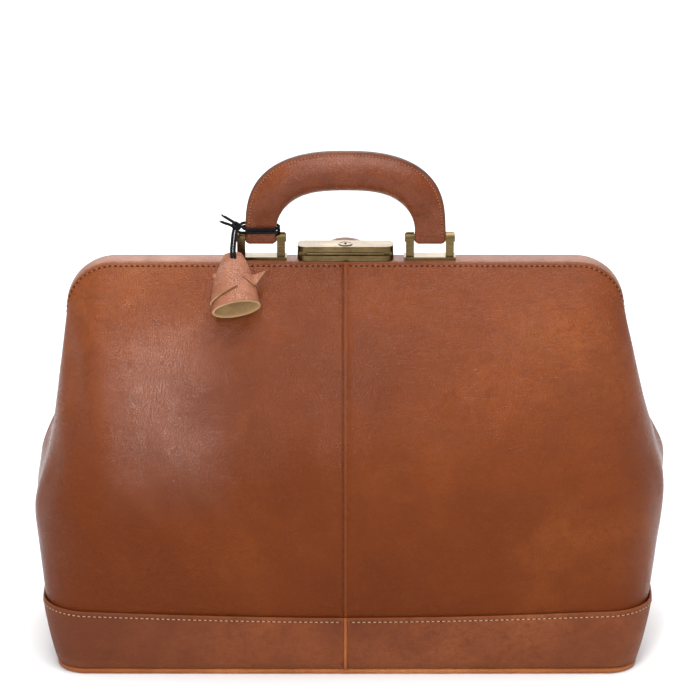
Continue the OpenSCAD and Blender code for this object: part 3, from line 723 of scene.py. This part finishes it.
def hide_grid(side, face, cols, rows, inset=0.0):
    """The hide's quarter as a grid of points, and how far each follows the frame."""
    us = np.concatenate([BESIDE_SEAM, np.linspace(0.02, 1, cols - len(BESIDE_SEAM))])
    coarse = np.stack([column(u, side, face, inset) for u in us], axis=1)
    grid = through(coarse, rows)
    where = np.linspace(0, COLUMN_ROWS - 1, rows)
    down = where / (len(UPPER_SHARES) + 1.5)
    follow = 1 - smooth_step((down - 0.06) / 0.94)
    follow = follow[:, None] * (1 - smooth_step((us - ARM_TO + 0.02) / (1.0 - ARM_TO + 0.02)))[None, :]
    across = np.gradient(grid, axis=1)
    downwards = np.gradient(grid, axis=0)
    normal = np.cross(downwards, across) * side * face
    normal /= np.linalg.norm(normal, axis=2)[:, :, None] + 1e-9
    x, y, z = grid[:, :, 0], grid[:, :, 1], grid[:, :, 2]
    facing = smooth_step((np.abs(normal[:, :, 1]) - 0.25) / 0.4)
    depth = sum(dent(x, z, f) for f in (FRONT_FOLDS if face < 0 else BACK_FOLDS)) * facing
    depth = depth + sum(dent(y, z, f) for f in SIDE_FOLDS) * (1 - facing)
    for i in range(rows):
        for j in range(cols):
            p = Vector(grid[i, j])
            depth[i, j] += 0.9 * noise.noise(p * 0.016 + Vector((face * 9, 0, 0)))
            depth[i, j] += 0.35 * noise.noise(p * 0.05)
    held = smooth_step(down / 0.22)[:, None] * smooth_step((us + 0.03) / 0.1)[None, :]
    low = smooth_step((z - SKIRT_Z) / 30)
    valley = 1.3 * np.exp(-(x / 2.4) ** 2)
    return grid - normal * (depth * held * low + valley)[:, :, None], normal, follow


# Shares of the quarter outline close to the middle seam, where the hide dips beside the welt.
BESIDE_SEAM = [0, 0.003, 0.006, 0.009, 0.013]
GRID_COLS = 90
GRID_ROWS = 96
QUARTERS = [("front", "left", -1, -1), ("front", "right", 1, -1),
            ("back", "left", -1, 1), ("back", "right", 1, 1)]
hide = {}


def outward(faces, side, face):
    return flipped(faces) if side * face < 0 else faces


def add_hides():
    """The hide's four quarters."""
    replaced = {("front", "left"): "body_leather_left", ("front", "right"): "body_leather_right",
                ("back", "left"): "upper_leather_back", ("back", "right"): "upper_leather_front"}
    for front, left, side, face in QUARTERS:
        grid, normal, follow = hide_grid(side, face, GRID_COLS, GRID_ROWS)
        hide[front, left] = (grid, normal, follow)
        faces = outward(grid_faces(GRID_ROWS, GRID_COLS), side, face)
        piece = add_mesh(f"hide_{front}_{left}", grid, faces, [BODY_HIDE])
        bend_with(piece, f"{front}_frame", follow.ravel(), "body_hide", replaced[front, left])
        modify(piece, "SOLIDIFY", thickness=HIDE_T * MM, offset=-1.0, use_even_offset=False)


def add_seam_welts():
    """The narrow ridge over the middle seam, from the frame to the floor, front and back. It is
    lifted out of the valley that the hide has there."""
    lift = 1.35
    ridge = [(-1.25, -0.5), (-1.1, 0.25), (-0.6, 0.85), (0, 1.05), (0.6, 0.85), (1.1, 0.25),
             (1.25, -0.5)]
    for front, face, nodes in (("front", -1, ["centre_welts"]), ("back", 1, [])):
        grid, normal, follow = hide[front, "right"]
        path = grid[:, 0] + normal[:, 0] * lift
        rings = [ring_at(p, ridge, X, n) for p, n in zip(path, normal[:, 0])]
        faces = grid_faces(len(path), len(ridge), wrap=True)
        faces += flipped(end_faces(len(path), len(ridge)))
        if face > 0:
            faces = flipped(faces)
        # The welt's pale hide is a painted highlight along its ridge.
        piece = add_mesh(f"seam_welt_{front}", rings, faces, [SEAM_HIGHLIGHT_HIDE])
        bend_with(piece, f"{front}_frame", np.repeat(follow[:, 0], len(ridge)), "body_hide",
                  *nodes)


def add_lining():
    """The cloth inside the hide: a front and a back sheet."""
    rows, cols = 40, 34
    gap = 1.2
    floor_z = 7.5
    for front, face, nodes in (("front", -1, ["body_lining"]), ("back", 1, [])):
        halves = [hide_grid(side, face, cols, rows, HIDE_T + gap) for side in (-1, 1)]
        (left, _, left_follow), (right, _, right_follow) = halves
        grid = np.concatenate([left[:, :0:-1], right], axis=1)
        follow = np.concatenate([left_follow[:, :0:-1], right_follow], axis=1)
        grid[-1, :, 2] = floor_z
        piece = add_mesh(f"lining_{front}", grid, grid_faces(rows, 2 * cols - 1), [LINING])
        bend_with(piece, f"{front}_frame", follow.ravel(), "lining_cloth", *nodes)


def plan_outline(z, inset):
    """The outline of the body at height z, all the way round."""
    steps = 40
    points = []
    for side, face, start in ((1, -1, 0), (1, 1, 1), (-1, 1, 0), (-1, -1, 1)):
        shares = np.linspace(start, 1 - start, steps)[:-1]
        points += [plan_point(u, z, side, face, inset) for u in shares]
    return np.array(points)


def add_floor_lining():
    """The lined floor inside the bag."""
    rings = [plan_outline(7.2, inset) for inset in (3.4, 12, 19, 40, 70)]
    verts = np.concatenate(rings)
    for v in verts:
        v[2] += 0.4 * noise.noise(Vector(v) * 0.03)
    n = len(rings[0])
    faces = grid_faces(len(rings), n, wrap=True) + end_faces(len(rings), n)[1:]
    piece = add_mesh("lining_floor", verts, faces, [LINING])
    fix(piece, "root", "lining_cloth")


# ---- Base ----

CORNER_RISE = 3.6


def band_point(u, z, side, face, proud):
    """A point on the band, which stands proud of the body and rises towards the corners."""
    rise = CORNER_RISE * float(smooth_step(u / CORNER_TO)) * z / BAND_TOP
    return plan_point(u, z + rise, side, face, -proud)


def round_side(z, side, proud, steps):
    """Points on the band at height z, from the middle of the front to the middle of the back."""
    front = [band_point(u, z, side, -1, proud) for u in np.linspace(0, 1, steps)]
    return front + [band_point(u, z, side, 1, proud) for u in np.linspace(1, 0, steps)[1:]]


def add_bands():
    """The band round the base: a left and a right piece with a turned top edge, a little taller
    at the corners, and a row of stitches below that edge."""
    below_top = [33, 26, 18, 10.5, 5, 2.5, 0.8, 0.1, 0.4, 1.5]
    heights = [SKIRT_Z] + [BAND_TOP - d for d in below_top]
    proud = [1.9, 2.3, 2.5, 2.5, 2.5, 2.4, 2.35, 2.2, 1.7, 0.9, 0.1]
    seam_below, seam_proud, stitch_pitch = 3.2, 2.45, 3.75
    for left, side in (("left", -1), ("right", 1)):
        grid = np.array([round_side(z, side, out, 70) for z, out in zip(heights, proud)])
        for i in range(grid.shape[0]):
            for j in range(grid.shape[1]):
                p = Vector(grid[i, j])
                grid[i, j, 2] += 0.5 * noise.noise(Vector((p.x * 0.02, p.y * 0.02, 3))) * (i > 2)
        faces = outward(grid_faces(grid.shape[0], grid.shape[1]), side, 1)
        piece = add_mesh(f"band_{left}", grid, faces, [BAND_HIDE])
        modify(piece, "SOLIDIFY", thickness=0.5 * MM, offset=-1.0)
        fix(piece, "root", "trim_hide", f"base_band_{left}")
        spots = evenly(round_side(BAND_TOP - seam_below, side, seam_proud, 160), stitch_pitch)
        out = unit(np.cross(np.gradient(spots, axis=0), Z) * side)
        add_stitches(f"band_stitches_{left}", "root", spots[1:-1], out[1:-1], 0.38, CREAM_THREAD,
                     0.42)


def add_band_welts():
    """The narrow ridges where the two halves of the band meet, front and back."""
    proud = 2.4
    ridge = [(-1.2, -0.4), (-1.0, 0.3), (-0.5, 0.7), (0, 0.85), (0.5, 0.7), (1.0, 0.3), (1.2, -0.4)]
    for front, face in (("front", -1), ("back", 1)):
        rings = [ring_at(band_point(0, z, 1, face, proud), ridge, X, face * Y)
                 for z in np.linspace(SKIRT_Z, BAND_TOP, 14)]
        faces = outward(tube_faces(len(rings), len(ridge)), 1, face)
        piece = add_mesh(f"band_welt_{front}", rings, faces, [WELT_HIDE_AND_HIGHLIGHT])
        fix(piece, "root", "trim_hide")


def add_piping():
    """The welt of covered cord round the bottom edge."""
    radius = 2.2
    path = plan_outline(radius, 0.1)
    section = circle(radius, 14)
    t = unit(np.roll(path, -1, axis=0) - np.roll(path, 1, axis=0))
    rings = []
    for p, out in zip(path, np.cross(t, Z)):
        swell = 1 + 0.03 * noise.noise(Vector(p) * 0.09)
        rings.append(ring_at(p, section, out * swell, Z))
    corners = len(path) * len(section)
    closed = grid_faces(len(path) + 1, len(section), wrap=True)
    faces = [tuple(k % corners for k in face[::-1]) for face in closed]
    piece = add_mesh("piping", rings, faces, [WELT_HIDE_AND_HIGHLIGHT])
    fix(piece, "root", "body_hide", "base_piping")


def add_underside():
    """The leather under the base, rounded at its edge and not quite flat."""
    heights_and_insets = [(1.9, 4.5), (2.0, 2.6), (1.2, 2.0), (0.3, 2.6), (0.0, 4.5), (0.15, 12),
                          (0.0, 19), (0.1, 60)]
    rings = []
    for z, inset in heights_and_insets:
        ring = plan_outline(0, inset)
        ring[:, 2] = z
        rings.append(ring)
    faces = flipped(tube_faces(len(rings), len(rings[0])))
    piece = add_mesh("underside", rings, faces, [BAND_HIDE])
    fix(piece, "root", "trim_hide", "base_leather")


# ---- Frame ----

def arch_path(top, foot):
    """The frame's arch from the left foot over the top to the right foot, seen from the front."""
    half, r = FRAME_HALF_W, FRAME_R
    rise = [(half, z) for z in np.linspace(foot, top - r, 12)]
    rise += [(half - r + r * math.cos(a), top - r + r * math.sin(a))
             for a in np.linspace(0, math.pi / 2, 17)[1:-1]]
    across = [(x, top) for x in np.linspace(r - half, half - r, 60)]
    return [(-x, z) for x, z in rise] + across + rise[::-1]


def add_frame_strip(front, top, y_from, y_to, foot):
    """The leather strip round a half of the frame: crowned outside, turned in at both edges."""
    middle, reach = (y_from + y_to) / 2, (y_to - y_from) / 2
    section = [(-1, -5.9), (-1, -3), (-1, -1.3), (-0.94, -0.5), (-0.8, -0.1), (-0.45, 0.2), (0, 0.35),
               (0.45, 0.2), (0.8, -0.1), (0.94, -0.5), (1, -1.3), (1, -3), (1, -5.9), (0, -5.9)]
    path = arch_path(top, foot)
    rings = []
    for (x, z), (tx, tz) in zip(path, unit(np.gradient(np.array(path), axis=0))):
        sway = 0.25 * noise.noise(Vector((x, z, middle)) * 0.02)
        rings.append([(x - tz * h, middle + reach * b + sway * (abs(b) < 0.9), z + tx * h)
                      for b, h in section])
    faces = tube_faces(len(path), len(section))
    piece = add_mesh(f"frame_strip_{front}", rings, faces, [STRIP_HIDE])
    fix(piece, f"{front}_frame", "trim_hide", f"{front}_frame_leather")


def add_crease_stitches():
    """Stitches that hold the hide to the frame, just below the crease."""
    below, pitch = 2.2, 3.9
    last = int(GRID_COLS * ARM_TO)
    for (front, left), (grid, normal, _) in hide.items():
        downward = unit(grid[3, :last] - grid[0, :last])
        spots = evenly(grid[0, :last] + downward * below, pitch)
        picks = np.linspace(0, last - 1, len(spots)).astype(int)
        out = normal[1, picks]
        add_stitches(f"crease_stitches_{front}_{left}", f"{front}_frame", spots[1:], out[1:], 0.36,
                     HIDE_THREAD, 0.56, gap=0.26, hole_reach=0.95)


# ---- Handle ----

LEG_SPACING = 119.6
GRIP_RISE = 48.5
ARCH_POWER = 0.75
PIVOT = np.array([0, -9.0, 298.3])
GRIP_PROFILE = [(1.0, 0.0), (0.995, 0.15), (0.94, 0.19), (0.82, 0.27), (0.66, 0.52), (0.42, 0.82),
                (0.1, 0.99), (-0.25, 0.98), (-0.6, 0.81), (-0.88, 0.46), (-1.0, 0.0)]
LEG_PROFILE = [(1.0, 0.0), (0.99, 0.7), (0.95, 0.93), (0.84, 1.0), (0.6, 1.0), (0.3, 1.0),
               (0.0, 1.0), (-0.35, 1.0), (-0.8, 1.0), (-0.96, 0.9), (-1.0, 0.0)]
# The handle is a flat leg at its foot and a fat grip at its top.
LEG_W, LEG_D = 21.6, 9.0
GRIP_W, GRIP_D = 28.6, 24.0
FOOT_Z = PIVOT[2] - 4.2
HANDLE_PITCH = 2.6
HALF_SECTION = 27


def bow_point(angle):
    c, s = math.cos(angle), math.sin(angle)
    return PIVOT + np.array([LEG_SPACING / 2 * math.copysign(abs(c) ** ARCH_POWER, c), 0,
                             GRIP_RISE * abs(s) ** ARCH_POWER])


def bow_path():
    """The handle's centre line from the foot of the right leg to the foot of the left one."""
    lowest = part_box("handle_leather")[0][2] / MM + 0.3
    bow = np.array([bow_point(math.radians(a)) for a in np.linspace(0.4, 179.6, 400)])
    right, left = ([side * LEG_SPACING / 2, PIVOT[1], lowest] for side in (1, -1))
    path = evenly(np.concatenate([[right], bow, [left]]), HANDLE_PITCH)
    rises = (0.25, 0.8, 1.6)
    start = [path[0] + Z * rise for rise in rises]
    end = [path[-1] + Z * rise for rise in reversed(rises)]
    return np.concatenate([path[:1], start, path[1:-1], end, path[-1:]])


def rounding(z, radius):
    """How much a leg draws in at height z, for rounded corners at its foot."""
    below = max(0.0, radius - max(0.0, z - FOOT_Z))
    return radius - math.sqrt(radius ** 2 - below ** 2)


def handle_girth(z):
    """How far the handle is a grip rather than a leg at height z, and half its width and depth."""
    grow = float(smooth_step(((z - PIVOT[2]) / GRIP_RISE - 0.12) / 0.73))
    half_w = lerp(LEG_W, GRIP_W, grow) / 2 - rounding(z, 3.2)
    half_d = lerp(LEG_D, GRIP_D, grow) / 2 - rounding(z, 2.2)
    return grow, half_w, half_d


def handle_section(grow, half_w, half_d):
    """The handle's outline across its path: the front from the outside in, then the back."""
    half = through(lerp(np.array(LEG_PROFILE), np.array(GRIP_PROFILE), grow), HALF_SECTION)
    ring = np.concatenate([half, half[-2:0:-1] * (1, -1)])
    return ring * (half_w, half_d)


def outward_of(path):
    t = unit(np.gradient(path, axis=0))
    return np.stack([t[:, 2], np.zeros(len(t)), -t[:, 0]], axis=1)


def add_handle():
    """The padded cover of the handle, whose legs stay flat where the brackets hold them."""
    flat_below = 312
    path = bow_path()
    out = outward_of(path)
    rings = []
    for p, o in zip(path, out):
        rings.append(ring_at(p, handle_section(*handle_girth(p[2])), o, Y))
    verts = np.array(rings).reshape(-1, 3)
    for v in verts:
        if v[2] > flat_below:
            v[1] += 0.35 * noise.noise(Vector(v) * 0.06)
    faces = flipped(tube_faces(len(path), len(rings[0])))
    piece = add_mesh("handle_cover", verts, faces, [HANDLE_HIDE])
    bevel(piece, 0.8, 1.0)
    fix(piece, "handle", "trim_hide", "handle_leather")
    add_handle_edge(path, out)
    add_handle_stitches(path, out)


def add_handle_edge(path, out):
    """The painted edge where the handle's two layers meet, all along its outside."""
    rings = []
    for p, o in zip(path, out):
        grow, half_w, half_d = handle_girth(p[2])
        wide = lerp(0.72 * half_d, 0.155 * half_d, grow)
        shape = [(half_w - 0.9, -wide - 0.25), (half_w + 0.05, -wide), (half_w + 0.35, -0.5 * wide),
                 (half_w + 0.45, 0), (half_w + 0.35, 0.5 * wide), (half_w + 0.05, wide),
                 (half_w - 0.9, wide + 0.25)]
        rings.append(ring_at(p, shape, o, Y))
    faces = flipped(tube_faces(len(path), len(rings[0])))
    piece = add_mesh("handle_edge", rings, faces, [EDGE_PAINT])
    fix(piece, "handle", "trim_hide")


def add_handle_stitches(path, out):
    """A row of stitches inside the handle's outer edge, front and back, all but its feet."""
    inside, pitch, skip = 2.3, 2.4, 5
    for name, face in (("front", -1), ("back", 1)):
        points, normals = [], []
        for p, o in zip(path[skip:-skip], out[skip:-skip]):
            grow, half_w, half_d = handle_girth(p[2])
            ring = handle_section(grow, half_w, half_d)[:HALF_SECTION]
            reach = half_w - inside
            y = float(np.interp(-reach, -ring[:, 0], ring[:, 1]))
            points.append(p + o * reach + Y * face * y)
            normals.append(unit(Y * face + o * 0.8 * grow))
        spots = evenly(points, pitch)
        picks = np.linspace(0, len(normals) - 1, len(spots)).astype(int)
        add_stitches(f"handle_stitches_{name}", "handle", spots, np.array(normals)[picks], 0.3,
                     TAN_THREAD, 0.3)


# ---- Pull tab of the lock ----

def add_tab():
    """A half-round leather tab with a painted edge and a row of stitches."""
    seam_share, pitch = 0.8, 2.6
    low, high = (np.array(c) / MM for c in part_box("lock_tab"))
    reach, centre_y = high[0], low[1] + 0.2
    radius = high[1] - centre_y
    outline = [(reach, low[1]), (reach, centre_y)]
    outline += [(reach * math.cos(a), centre_y + radius * math.sin(a))
                for a in np.linspace(0, math.pi, 40)]
    outline += [(-reach, low[1])]
    t = high[2] - low[2]
    rings = []
    for z, inset in ((0, 1.2), (0, 0.5), (0.25, 0), (t - 0.25, 0), (t, 0.5), (t, 1.2)):
        ring = []
        for x, y in outline:
            length = math.hypot(x, max(0.0, y - centre_y)) or 1
            ring.append((x * (1 - inset / length), centre_y + (y - centre_y) * (1 - inset / length),
                         low[2] + z))
        rings.append(ring)
    faces = tube_faces(len(rings), len(outline))
    material_of = [1] * (len(faces) - 2) + [0, 0]
    piece = add_mesh("tab_hide", rings, faces, [STRIP_HIDE, EDGE_PAINT], material_of)
    bevel(piece, 0.15, 0.9)
    fix(piece, "lock_lid", "trim_hide", "lock_tab")
    arc = [(seam_share * reach * math.cos(a), centre_y + seam_share * radius * math.sin(a), high[2])
           for a in np.linspace(0.3, math.pi - 0.3, 60)]
    spots = evenly(arc, pitch)
    ups = np.tile(Z, (len(spots), 1))
    add_stitches("tab_stitches", "lock_lid", spots, ups, 0.3, BROWN_THREAD, 0.3)


# ---- Key bell ----

BELL_TOP = np.array([-79.0, -29.0, 292.0])
BELL_TILT = math.radians(41)
BELL_LEAN = math.radians(4)
BELL_STATIONS = [(0, 6, 2.4), (5, 8.4, 3.4), (15, 11.8, 6.4), (27, 14.6, 9.4), (41, 17.2, 12)]
BELL_T = 1.6
LAYER_T = 1.5


def from_bell(points):
    """Points in the bell's own frame, taken to where it hangs, leaning and tilted."""
    p = np.asarray(points, float)
    x = math.cos(BELL_LEAN) * p[..., 0] - math.sin(BELL_LEAN) * p[..., 2]
    up = math.sin(BELL_LEAN) * p[..., 0] + math.cos(BELL_LEAN) * p[..., 2]
    y = math.cos(BELL_TILT) * p[..., 1] + math.sin(BELL_TILT) * up
    z = -math.sin(BELL_TILT) * p[..., 1] + math.cos(BELL_TILT) * up
    return BELL_TOP + np.stack([x, y, z], axis=-1)


def bell_girth(s):
    """Half the bell's width and depth, s down from its top."""
    distances, widths, depths = np.array(BELL_STATIONS, float).T
    return np.interp(s, distances, widths), np.interp(s, distances, depths)


def bell_point(angle, s, proud):
    """A point of the bell in its own frame, at an angle in degrees round it, s down from its top."""
    a, b = (half + proud for half in bell_girth(s))
    t = math.radians(angle)
    pinch = 1 - 0.25 * abs(math.cos(t)) ** 3 * max(0.0, 1 - s / 24)
    return np.array([a * math.cos(t), b * math.sin(t) * pinch, -s])


def bell_mouth(angle):
    """How far down the bell's edge is: least at the front and on the right."""
    return 42.6 - 1.9 * math.cos(math.radians(angle)) + 0.6 * math.sin(math.radians(angle))


def add_bell_cone():
    """The bell's inner turn: smooth outside, with a raw rim and a raw inside."""
    angles = np.linspace(0, 360, 64, endpoint=False)
    shares = np.linspace(0, 1, 22)
    roof, lip = 5, 0.35
    outside = [[bell_point(a, bell_mouth(a) * v, 0.25 * noise.noise(Vector((a * 0.03, v * 4, 0))))
                for a in angles] for v in shares]
    inside = [[bell_point(a, lerp(roof, bell_mouth(a), v), -BELL_T) for a in angles]
              for v in shares[::-1]]
    rim = [[bell_point(a, bell_mouth(a) + lip, -share * BELL_T) for a in angles]
           for share in (0.35, 0.7)]
    crown = [[bell_point(a, -0.5, -1.0) for a in angles]]
    rings = crown + outside + rim + inside
    faces = flipped(tube_faces(len(rings), len(angles)))
    smooth_faces = len(outside) * len(angles)
    material_of = [0] * smooth_faces + [1] * (len(faces) - 2 - smooth_faces) + [0, 1]
    piece = add_mesh("bell_cone", from_bell(rings), faces, [BELL_HIDE, RAW_HIDE], material_of)
    fix(piece, "key_bell", "trim_hide", "tag_bell")


def add_bell_layer():
    """The outer turn of the bell's leather: it crosses the front and ends in a slanted corner."""
    rows, cols = 16, 26
    outer, inner = [], []
    for v in np.linspace(0, 1, rows):
        proud = lerp(0.35, 1.9, smooth_step(v * 1.4))
        for angle in np.linspace(172, lerp(266, 277, smooth_step(v)), cols):
            end = 30.0 - 0.5 * bell_point(angle, 34, 0)[0]
            s = lerp(2, end, v)
            outer.append(bell_point(angle, s, proud))
            inner.append(bell_point(angle, s, proud - LAYER_T))
    faces, material_of = sheet_faces(rows, cols)
    piece = add_mesh("bell_layer", from_bell(outer + inner), flipped(faces), [BELL_HIDE, RAW_HIDE],
                     material_of)
    bevel(piece, 0.25, 0.9)
    fix(piece, "key_bell", "trim_hide")


def add_bell_corner(name, corners, lift):
    """A corner of the bell's leather that lies on its front and stands out at its side."""
    a, b, c = (np.array(p, float) for p in corners)
    rows = 9
    outer = []
    for v in np.linspace(0, 1, rows):
        for h in np.linspace(0, 1, rows):
            x, s = lerp(a, lerp(b, c, h), v)
            half_w, half_d = bell_girth(s)
            front = -half_d * math.sqrt(1 - min(0.98, abs(x) / half_w) ** 2)
            outer.append([x, front - 0.9 + lift * v * v, -s])
    inner = [[x, y + LAYER_T, z] for x, y, z in outer]
    faces, material_of = sheet_faces(rows, rows)
    piece = add_mesh(name, from_bell(outer + inner), faces, [BELL_HIDE, RAW_HIDE], material_of)
    bevel(piece, 0.2, 0.9)
    fix(piece, "key_bell", "trim_hide")


# ---- Cords ----

CORD_R = 1.0
# The routes of the CAD's cords. The drop's is in the bell's own frame.
LOOP_ROUTE = [
    (-75.4, -16, 304), (-73, -16.2, 303.7), (-68, -15.8, 303.6), (-60, -15.7, 303.6),
    (-52, -15.6, 303.6), (-48.6, -14.4, 303.6), (-47.3, -12, 303.6), (-47, -9, 303.6),
    (-47.3, -6, 303.6), (-48.6, -3.6, 303.6), (-52, -2.4, 303.6), (-60, -2.3, 303.8),
    (-68, -2.4, 304.3), (-71, -3.6, 304.9), (-72.4, -6, 305.4), (-72.6, -9, 305.7),
    (-72.2, -12, 305.8), (-70.6, -14.6, 305.8), (-67.4, -15.7, 305.8), (-60, -15.9, 305.8),
    (-52.6, -15.8, 305.8), (-49.4, -14.6, 305.9), (-47.6, -12, 306), (-47.2, -9, 306),
    (-47.6, -6, 306.1), (-49.4, -3.4, 306.2), (-53, -2.2, 306.3), (-60, -2, 306.5),
    (-68, -2.2, 307), (-71.4, -3.6, 307.4), (-73, -6, 307.8), (-73.8, -9, 308),
    (-74.2, -11.2, 308.1), (-74.8, -13.2, 308.2),
]
DROP_ROUTE = [
    (-6.8, 0.4, 25.5), (-3.8, -0.4, 23.6), (-1, -1.2, 22), (1, -1.6, 20.4),
    (1.6, -1.9, 18.4), (0.6, -2.4, 14), (-0.1, -3, 9), (-0.7, -3.6, 4.5), (-1.1, -4.2, 1),
    (-1.1, -4.4, -1.6), (-1.1, -4.2, -3.4), (-1.1, -3.2, -4.7), (-1.1, -2.1, -5.6),
    (-1.1, -1.2, -6.8), (-1.1, -0.8, -8.8), (-1.1, -1.3, -11.2), (-1.1, -1.95, -14),
    (-1.1, -1.95, -17.2), (-0.8, -1.8, -18.6), (-0.3, -0.9, -19.5), (0, 0, -19.7),
    (0.3, 0.9, -19.5), (0.8, 1.8, -18.6), (1.1, 1.95, -17.2), (1.1, 1.95, -14.6),
    (1.1, 1.3, -12.9), (1.1, 0.3, -11.2), (1.1, -0.6, -9.2),
    (1.1, -1.2, -6.8), (1.1, -2.1, -5.6), (1.1, -3.2, -4.7), (1.1, -4.2, -3.4),
    (1.1, -4.4, -1.6), (1.1, -4.2, 1), (1.5, -3.6, 4.5), (2.1, -3, 9), (2.9, -2.4, 14),
    (4, -2.2, 18.4), (3.6, -3.2, 21), (1, -4.2, 23), (-1.8, -5.1, 24.8), (-4.8, -5.9, 26.6),
]
# The knot's cord in the bell's own frame: a flat overhand knot.
KNOT_ROUTE = [
    (6.2, -0.6, 14.6), (4.4, -2.6, 16.2), (1.6, -3.6, 18.6), (0.6, -2.4, 21.2), (2.6, -0.4, 22.2),
    (5.0, -0.2, 20.4), (5.6, -2.2, 18.2), (3.6, -4.4, 17.8), (1.4, -4.6, 20.0), (2.4, -3.4, 22.6),
    (5.0, -1.6, 22.0), (7.4, -0.8, 19.4),
]


def twisted(radius, along):
    """A cord's section, which turns with the distance along it."""
    pitch, plies = 5.2, 3
    angles = np.linspace(0, 2 * math.pi, 18, endpoint=False)
    turn = 2 * math.pi * along / pitch
    r = radius * (0.92 + 0.14 * np.abs(np.cos(plies / 2 * (angles - turn))))
    return np.stack([r * np.cos(angles), r * np.sin(angles)], axis=1)


def add_cord_mesh(name, route, radius, taper=False):
    step = 0.55
    path = evenly(through(route, len(route) * 7), step)

    def section(i):
        girth = min(1.0, 0.55 + 0.5 * min(i, len(path) - 1 - i)) if taper else 1.0
        return twisted(radius, i * step) * girth
    verts, faces = swept(path, section)
    return add_mesh(name, verts, flipped(faces), [CORD_FIBRE]), path


def add_cords():
    knot, _ = add_cord_mesh("cord_knot", from_bell(KNOT_ROUTE), 0.95, taper=True)
    fix(knot, "key_bell", "cord")
    frays = add_frays()
    loop, path = add_cord_mesh("cord_turns", LOOP_ROUTE, CORD_R)
    fix(loop, "handle", "cord", "cord_loop")
    drop, path = add_cord_mesh("cord_hanging", from_bell(DROP_ROUTE), CORD_R)
    fix(drop, "key_bell", "cord", "cord_drop")


def add_frays():
    """Loose fibres at the cord's two ends."""
    fibres, radius, steps = 5, 0.3, 9
    parts = []
    route = np.array(DROP_ROUTE, float)
    for k, (tip, before) in enumerate([route[:2], route[:-3:-1]]):
        away = unit(tip - before)
        for i in range(fibres):
            spread = np.array([0.1, math.cos(1.3 * i + k), math.sin(1.3 * i + k)]) * 0.55
            length = 2.0 + 0.5 * (i % 3)
            points = [tip - away * 0.6 + spread * 0.4, tip + away * 0.3 * length + spread * 0.9,
                      tip + away * 0.7 * length + spread * 1.6,
                      tip + away * length + spread * 2.4 + np.array([0, 0, 0.3 * (i - 2)])]
            path = from_bell(through(points, steps + 1))
            parts.append(swept(path, lambda j: circle(radius * (1 - 0.6 * j / steps), 6)))
    verts, faces = joined(parts)
    piece = add_mesh("cord_frays", verts, flipped(faces), [CORD_FIBRE])
    fix(piece, "key_bell", "cord")
    return piece


# ---- CAD pieces that stay, with their finishes ----

# The width in mm of the bevel on the edges of each CAD piece that stays, by its finish.
CAD_EDGES = {
    BOARD: {"base_board": 0, "handle_core": 0},
    STEEL: {"front_frame_steel": 0.25, "back_frame_steel": 0.25},
    BRASS: {
        "hinge_pins": 0.3, "handle_bracket_left": 0.55, "handle_bracket_right": 0.55,
        "bracket_screws": 0.2, "handle_pins": 0.25, "handle_bushes": 0.2, "lock_case": 0.35,
        "lock_screws": 0.2, "lock_hinge_pin": 0.1, "lock_lid": 0.9, "tab_rivets": 0.15,
        "lock_catch": 0.3, "catch_screws": 0.2, "key_cylinder": 0.15, "tag_key": 0.25,
    },
}


def finish_cad_pieces():
    for material, edges in CAD_EDGES.items():
        for name, width in edges.items():
            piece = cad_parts[name]
            piece.data.materials.clear()
            piece.data.materials.append(material)
            if width:
                bevel(piece, width, math.radians(35), segments=3)


# ---- The scene ----

def add_stage():
    reach = 30.0 / MM
    corners = [(-reach, -reach, 0), (reach, -reach, 0), (reach, reach, 0), (-reach, reach, 0)]
    add_mesh("floor", corners, [(0, 1, 2, 3)], [pale_floor("pale_floor")])
    add_world(0.29)
    add_softbox("overhead", (0.2, 0.1, 2.6), (2.4, 2.0), 90)
    add_softbox("left", (-2.2, -2.2, 1.6), (1.2, 1.6), 12, (1, 0.99, 0.97))
    add_softbox("front_left", (-0.62, -2.9, 1.5), (0.4, 2.2), 36)
    add_softbox("high_left", (-0.5, -1.9, 2.7), (0.5, 1.1), 18)
    add_softbox("front_right", (2.3, -2.2, 1.4), (1.4, 1.4), 7)
    add_softbox("behind", (0.0, 3.8, 1.9), (4.5, 2.0), 110)
    bpy.context.scene.view_settings.view_transform = "Standard"


add_camera()
add_cords()
add_hides()
add_seam_welts()
add_lining()
add_floor_lining()
add_bands()
add_band_welts()
add_piping()
add_underside()
add_frame_strip("front", FRAME_TOP, FRONT_Y - 0.9, -0.15, ARM_FOOT_Z + 3)
add_frame_strip("back", BACK_TOP, 0.15, BACK_Y + 0.9, ARM_FOOT_Z + 7)
add_crease_stitches()
add_handle()
add_tab()
add_bell_cone()
add_bell_layer()
add_bell_corner("bell_corner_right", [(5.5, 20.5), (22, 16), (13.4, 27.6)], -1.2)
add_bell_corner("bell_corner_left", [(-8, 12.5), (-12.5, 21), (-15.8, 17)], -1.0)
finish_cad_pieces()
add_stage()
